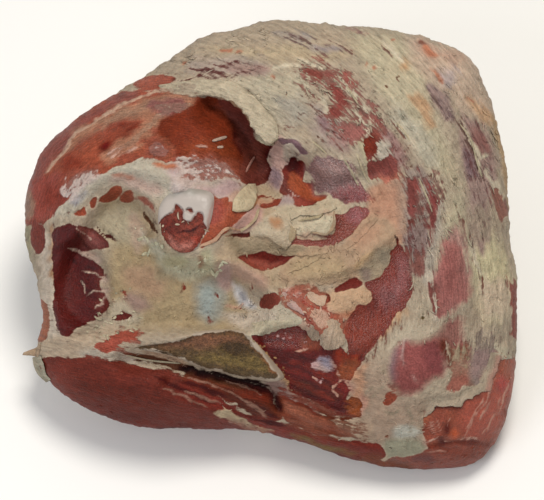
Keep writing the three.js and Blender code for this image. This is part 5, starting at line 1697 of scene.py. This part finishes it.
def scatter(zone, count, length, width, lift, seed, spread=0.35, edge=6.0, on_edge=0.5, **more):
    """Small leaves at random points of a zone. Each is a bent strip whose half width is
    w (0.25 + 0.75 sin(pi t)) and whose free end rises by lift t^2. Sizes vary by half."""
    rng = np.random.default_rng(seed)
    loop = smooth_curve(zone, True, 4)
    spots = rng.uniform(loop.min(0), loop.max(0), (count * 8, 2))
    spots = spots[inside_distance(spots[:, 0], spots[:, 1], loop) > 0]
    spots = spots[paint(spots[:, 0], spots[:, 1])["edge"] > on_edge][:count]
    inward = outline_radius(np.arctan2(spots[:, 1], spots[:, 0])) - np.hypot(spots[:, 0], spots[:, 1])
    spots = spots[inward > ROOT_MM]
    number = len(spots)
    way = fibre_heading(spots[:, 0], spots[:, 1])
    way = way + rng.normal(0, spread, number) + math.pi * rng.integers(0, 2, number)
    size = rng.uniform(0.5, 1.5, number)
    t = np.linspace(0, 1, 7)[None, :]
    bend = rng.normal(0, 0.5, number)[:, None]
    turn = way[:, None] + bend * (t - 0.5)
    reach = (length * size)[:, None] * (t - 0.5)
    x = spots[:, :1] + reach * np.cos(turn)
    y = spots[:, 1:] + reach * np.sin(turn)
    half = (width * rng.uniform(0.6, 1.5, number))[:, None] / 2 * (0.25 + 0.75 * np.sin(math.pi * t))
    rise = (lift * rng.uniform(0.2, 1.6, number))[:, None] * t**2 - 0.1
    a = np.stack([x - half * np.sin(turn), y + half * np.cos(turn), rise], -1)
    b = np.stack([x + half * np.sin(turn), y - half * np.cos(turn), rise + 0.25 * half], -1)
    shades = rng.uniform(0.9, 1.3, number)
    leaves(b, a, thickness=np.maximum(width * 0.45, 0.4), across=4, edge=edge, shades=shades, **more)
    return number


flakes = 0
flakes += scatter("-84,148 -40,168 20,176 66,166 104,130 120,96 84,84 40,92 6,104 -30,128", 330, 7, 1.3,
    1.3, 11)
flakes += scatter("20,146 60,138 92,104 104,76 70,74 44,90 30,116", 200, 8, 1.2, 2.0, 12)
flakes += scatter("104,96 140,70 160,0 150,-60 120,-64 112,-20 104,40", 150, 10, 1.2, 1.2, 13)
flakes += scatter("130,150 160,140 184,90 188,20 188,-60 164,-60 158,20 144,100", 130, 8, 1.2, 1.2, 14)
flakes += scatter("88,-90 120,-70 180,-80 188,-90 160,-116 124,-130 118,-160 90,-164", 130, 7, 1.2, 1.2, 15)
flakes += scatter("0,28 40,34 60,20 70,-10 60,-30 10,-30 -20,-10", 150, 5.5, 1.5, 1.8, 16, 0.8)
flakes += scatter("40,-40 80,-40 78,-54 50,-60 20,-66 -10,-68 -30,-50 10,-34", 130, 5, 1.5, 1.8, 17,
    0.9)
flakes += scatter("-130,40 -60,46 -30,30 -10,-20 -20,-62 -120,-60 -134,-20", 130, 5, 1.3, 1.2, 18, 0.9)
flakes += scatter("-150,-84 -60,-92 0,-112 20,-126 90,-160 60,-168 -20,-140 -110,-104", 110, 9, 1.1,
    1.0, 19, 0.25)
flakes += scatter("-108,16 -92,12 -84,-6 -60,-14 -38,-10 -42,-26 -70,-24 -102,-10", 46, 6.5, 2.4, 1.4,
    23, 1.0, colour="#b9b398")
flakes += scatter("-134,-34 -112,-34 -104,-66 -150,-74 -138,-56", 60, 6, 1.5, 2.2, 20, 1.2,
    on_edge=-1.5, colour="#b5aa90")
flakes += scatter("-84,148 -54,166 0,179 60,175 112,168 160,149 175,120 190,60 191,0 187,0 184,56 "
    "168,116 154,142 108,161 60,168 0,172 -52,158 -80,142", 220, 3.2, 1.6, 0.7, 21, 0.6)
flakes += scatter("-186,-100 -142,-134 -100,-147 -10,-151 60,-172 130,-180 182,-156 197,-100 "
    "193,-98 176,-150 128,-173 62,-165 -8,-144 -100,-140 -140,-127 -180,-97", 120, 2.8, 1.6, 0.5, 22,
    0.5, on_edge=-20, edge=-6.0)
print(flakes, "flakes and shreds")

# %% [markdown]
# All leaves become one mesh, which shares the body's material and its painting.

# %% Join the leaves
leaf_all = {key: np.concatenate([t[key] for t in leaf_tissues]) for key in leaf_tissues[0]}
leaf_along = tuple(np.concatenate([d[i] for d in leaf_directions]) for i in range(4))
torn_points = np.concatenate(leaf_points)
torn = finished_piece("torn_flaps_and_shreds", torn_points, leaf_faces, tissue)
store_tissue(torn.data, leaf_all, leaf_along)

# %% [markdown]
# Two sawn bones sit in the meat: the ilium, whose spongy red inside shows under a white
# cartilage cap, and the pubic symphysis, an olive-brown sawn face with a pale rim. Each is a
# plate over its outline, flush with the flesh at its rim and rough where the saw opened it.

# %% Sawn bone


def bone_material(name):
    """Sawn bone and cartilage have an IOR of about 1.5; the sawn inside is dull, the cap glossy."""
    material, tree, shader = new_material(name, IOR=1.5, Specular_IOR_Level=0.3)
    read = read_painting(tree, ("edge",), ("lean", "fat"))
    position = read["position"]

    # Marrow cells: pale thin walls between dark pits, 2 mm apart, and uneven by the patch.
    cells = {"Vector": position, "Scale": 1000 / 2.0}
    cells = add(tree, "ShaderNodeTexVoronoi", cells, feature="DISTANCE_TO_EDGE")
    wall = add(tree, RANGE, {"Value": cells, FROM_LOW: 0.02, FROM_HIGH: 0.2, TO_LOW: 1.3, TO_HIGH: 0.8})
    patchy = add(tree, NOISE, {"Vector": position, "Scale": 1000 / 4, "Detail": 4.0, "Roughness": 0.6})
    swell = add(tree, NOISE, {"Vector": position, "Scale": 1000 / 7, "Detail": 2.0})
    border = weighed(tree, -2.5, ((patchy, 5.0),))
    border = add(tree, MATH, {0: border, 1: read["edge"]}, operation="ADD")
    step = {"Value": border, FROM_LOW: -0.5, FROM_HIGH: 0.6}
    mask = add(tree, RANGE, step, interpolation_type="SMOOTHSTEP")
    light = add(tree, RANGE, {"Value": patchy, FROM_LOW: 0.3, FROM_HIGH: 0.7, TO_LOW: 0.55, TO_HIGH: 1.4})
    light = add(tree, MATH, {0: light, 1: wall}, operation="MULTIPLY")
    inside = add(tree, SCALED, {0: read["lean"], "Scale": light}, operation="SCALE")
    colour = blended(tree, mask, inside, read["fat"])
    tree.links.new(colour, shader.inputs["Base Color"])
    gloss = add(tree, RANGE, {"Value": mask, TO_LOW: 0.5, TO_HIGH: 0.38})
    tree.links.new(gloss.outputs[0], shader.inputs["Roughness"])

    # Relief in mm: the sawn inside is torn and pitted, the cartilage swells smoothly.
    torn_side = add(tree, MATH, {0: 1.0, 1: mask}, operation="SUBTRACT")
    pits = add(tree, MATH, {0: wall, 1: 0.5}, operation="MULTIPLY")
    pits = weighed(tree, pits, ((patchy, 3.0),))
    pits = add(tree, MATH, {0: pits, 1: torn_side}, operation="MULTIPLY")
    height = weighed(tree, pits, ((swell, 0.8), (mask, 1.4)))
    bump = add(tree, "ShaderNodeBump", {"Height": height, "Strength": 1.0, "Distance": MM})
    tree.links.new(bump.outputs[0], shader.inputs["Normal"])
    return material


bone = bone_material("sawn_bone_and_cartilage")
print("bone material:", len(bone.node_tree.nodes), "nodes")

# %% [markdown]
# The bones are painted as the flesh is: lean stands for the open, spongy inside and fat for the
# smooth cartilage or the rind.

# %% Stains of the two bones
lean("#78352a", "-90,12 -89,20 -86,22 -82,24 -80,26.5 -78,29.5 -76,31.5 -73,31 -71,28 -69.5,25 "
    "-69,20.5 -65,19 -62.5,22 -59.5,24.5 -55,24.5 -54,20 -55,17 -53,13 -52.5,9 -57,2 -64,-5 "
    "-72,-7.5 -80,-6 -86,0", onto=ILIUM, fray=0.4)
lean_tint("#96382a", "-58,6 -62,0 -70,-5", width=6, onto=ILIUM)
lean_tint("#b06a5c", "-82,8 -72,0 -62,2 -66,-4 -78,-3", onto=ILIUM)
lean_tint("#3d1512", "-76,10 -66,11 -57,14", width=2.2, soft=1.2, onto=ILIUM)
lean_tint("#62261f", "-88,14 -80,8 -72,16 -82,22", onto=ILIUM)
lean("#7a3a2e", "-68,28 -63,25.5", width=2.2, onto=ILIUM)
fat_tint("#a58a80", "-47,34 -50,20 -54,8 -60,0 -66,-5", width=2.4, soft=1, onto=ILIUM)
fat_tint("#8f8a80", "-92,30 -80,44 -60,46 -44,42 -60,40 -78,38", onto=ILIUM)
lean("#54432c", "-120,-82 -100,-79 -78,-77 -60,-72 -24,-71 -16,-79 -6,-90 2,-100 6,-106 -10,-106 "
    "-32,-102 -55,-97 -76,-89 -98,-84", onto=SYMPHYSIS)
lean_tint("#6e4a34", "-96,-80 -60,-73 -30,-72 -18,-78 -50,-82", soft=4, onto=SYMPHYSIS)
lean_tint("#67562f", "-60,-90 -30,-84 -8,-92 0,-100 -30,-98", soft=5, onto=SYMPHYSIS)
lean_tint("#40331f", "-40,-80 -24,-78 -14,-86 -30,-90", soft=4, onto=SYMPHYSIS)
lean_tint("#8a5a34", "-14,-78 -8,-86 0,-96 6,-104", width=4, soft=2, onto=SYMPHYSIS)

# %% [markdown]
# Each bone is a dome-like plate on its own square grid, bent to its outline and closed below.

# %% The two bones
PLATE_SIDE = 141
SKIRT_DEPTH = 12


def bone_plate(name, outline, slope, patches, first_fat, rough, node):
    """A plate over an outline: its face follows the solid's tilted top, is drawn down to the
    flesh at the rim by share^6, and sinks by share again to a rounded skirt inside."""
    middle = dots(outline).mean(0)
    walk, angle = square_disc(PLATE_SIDE)
    reach = polar_reach(smooth_curve(outline, True, 12) - middle, angle) + 0.6
    share = np.minimum(walk / 0.9, 1)
    below = smoothstep((walk - 0.9) / 0.1)
    x = middle[0] + share * reach * np.cos(angle)
    y = middle[1] + share * reach * np.sin(angle)
    tissues = paint(x, y, patches, srgb("#7c382e"), first_fat)
    plane = face_height(*middle)[0] + 3 + (x - middle[0]) * slope[0] + (y - middle[1]) * slope[1]
    flesh = face_height(x, y) + 0.8
    top = plane + (flesh - plane) * share**6
    cut = smoothstep(0.5 - tissues["edge"] / 3)
    top = top - cut * (2.2 + rough * (1 + rough_noise(x / 5, y / 5, 3)))
    height = top - SKIRT_DEPTH * below
    faces, rim = square_faces(PLATE_SIDE)
    bottom = np.full(len(rim), len(x))
    faces += np.stack([np.roll(rim, -1), rim, bottom], -1).tolist()
    lowest = place(*(np.array([v]) for v in (*middle, height.min() - 2)))
    points = np.concatenate([place(x, y, height), lowest])
    piece = finished_piece(name, points, faces, bone)
    store(piece.data, "edge", "FLOAT", np.append(tissues["edge"], 0))
    for key in ("lean", "fat"):
        store(piece.data, key, "FLOAT_COLOR", np.concatenate([tissues[key], tissues[key][:1]]))
    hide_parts(node)


bone_plate("ilium_with_cartilage_cap", ILIUM_OUTLINE, (0.1, -0.12), ILIUM, srgb("#a89f96"), 1.0, "ilium_bone")
bone_plate(
    "pubic_symphysis_sawn_face", SYMPHYSIS_OUTLINE, (0.06, 0.1), SYMPHYSIS, srgb("#a0917d"), 0.4,
    "pelvis_sawn_face",
)
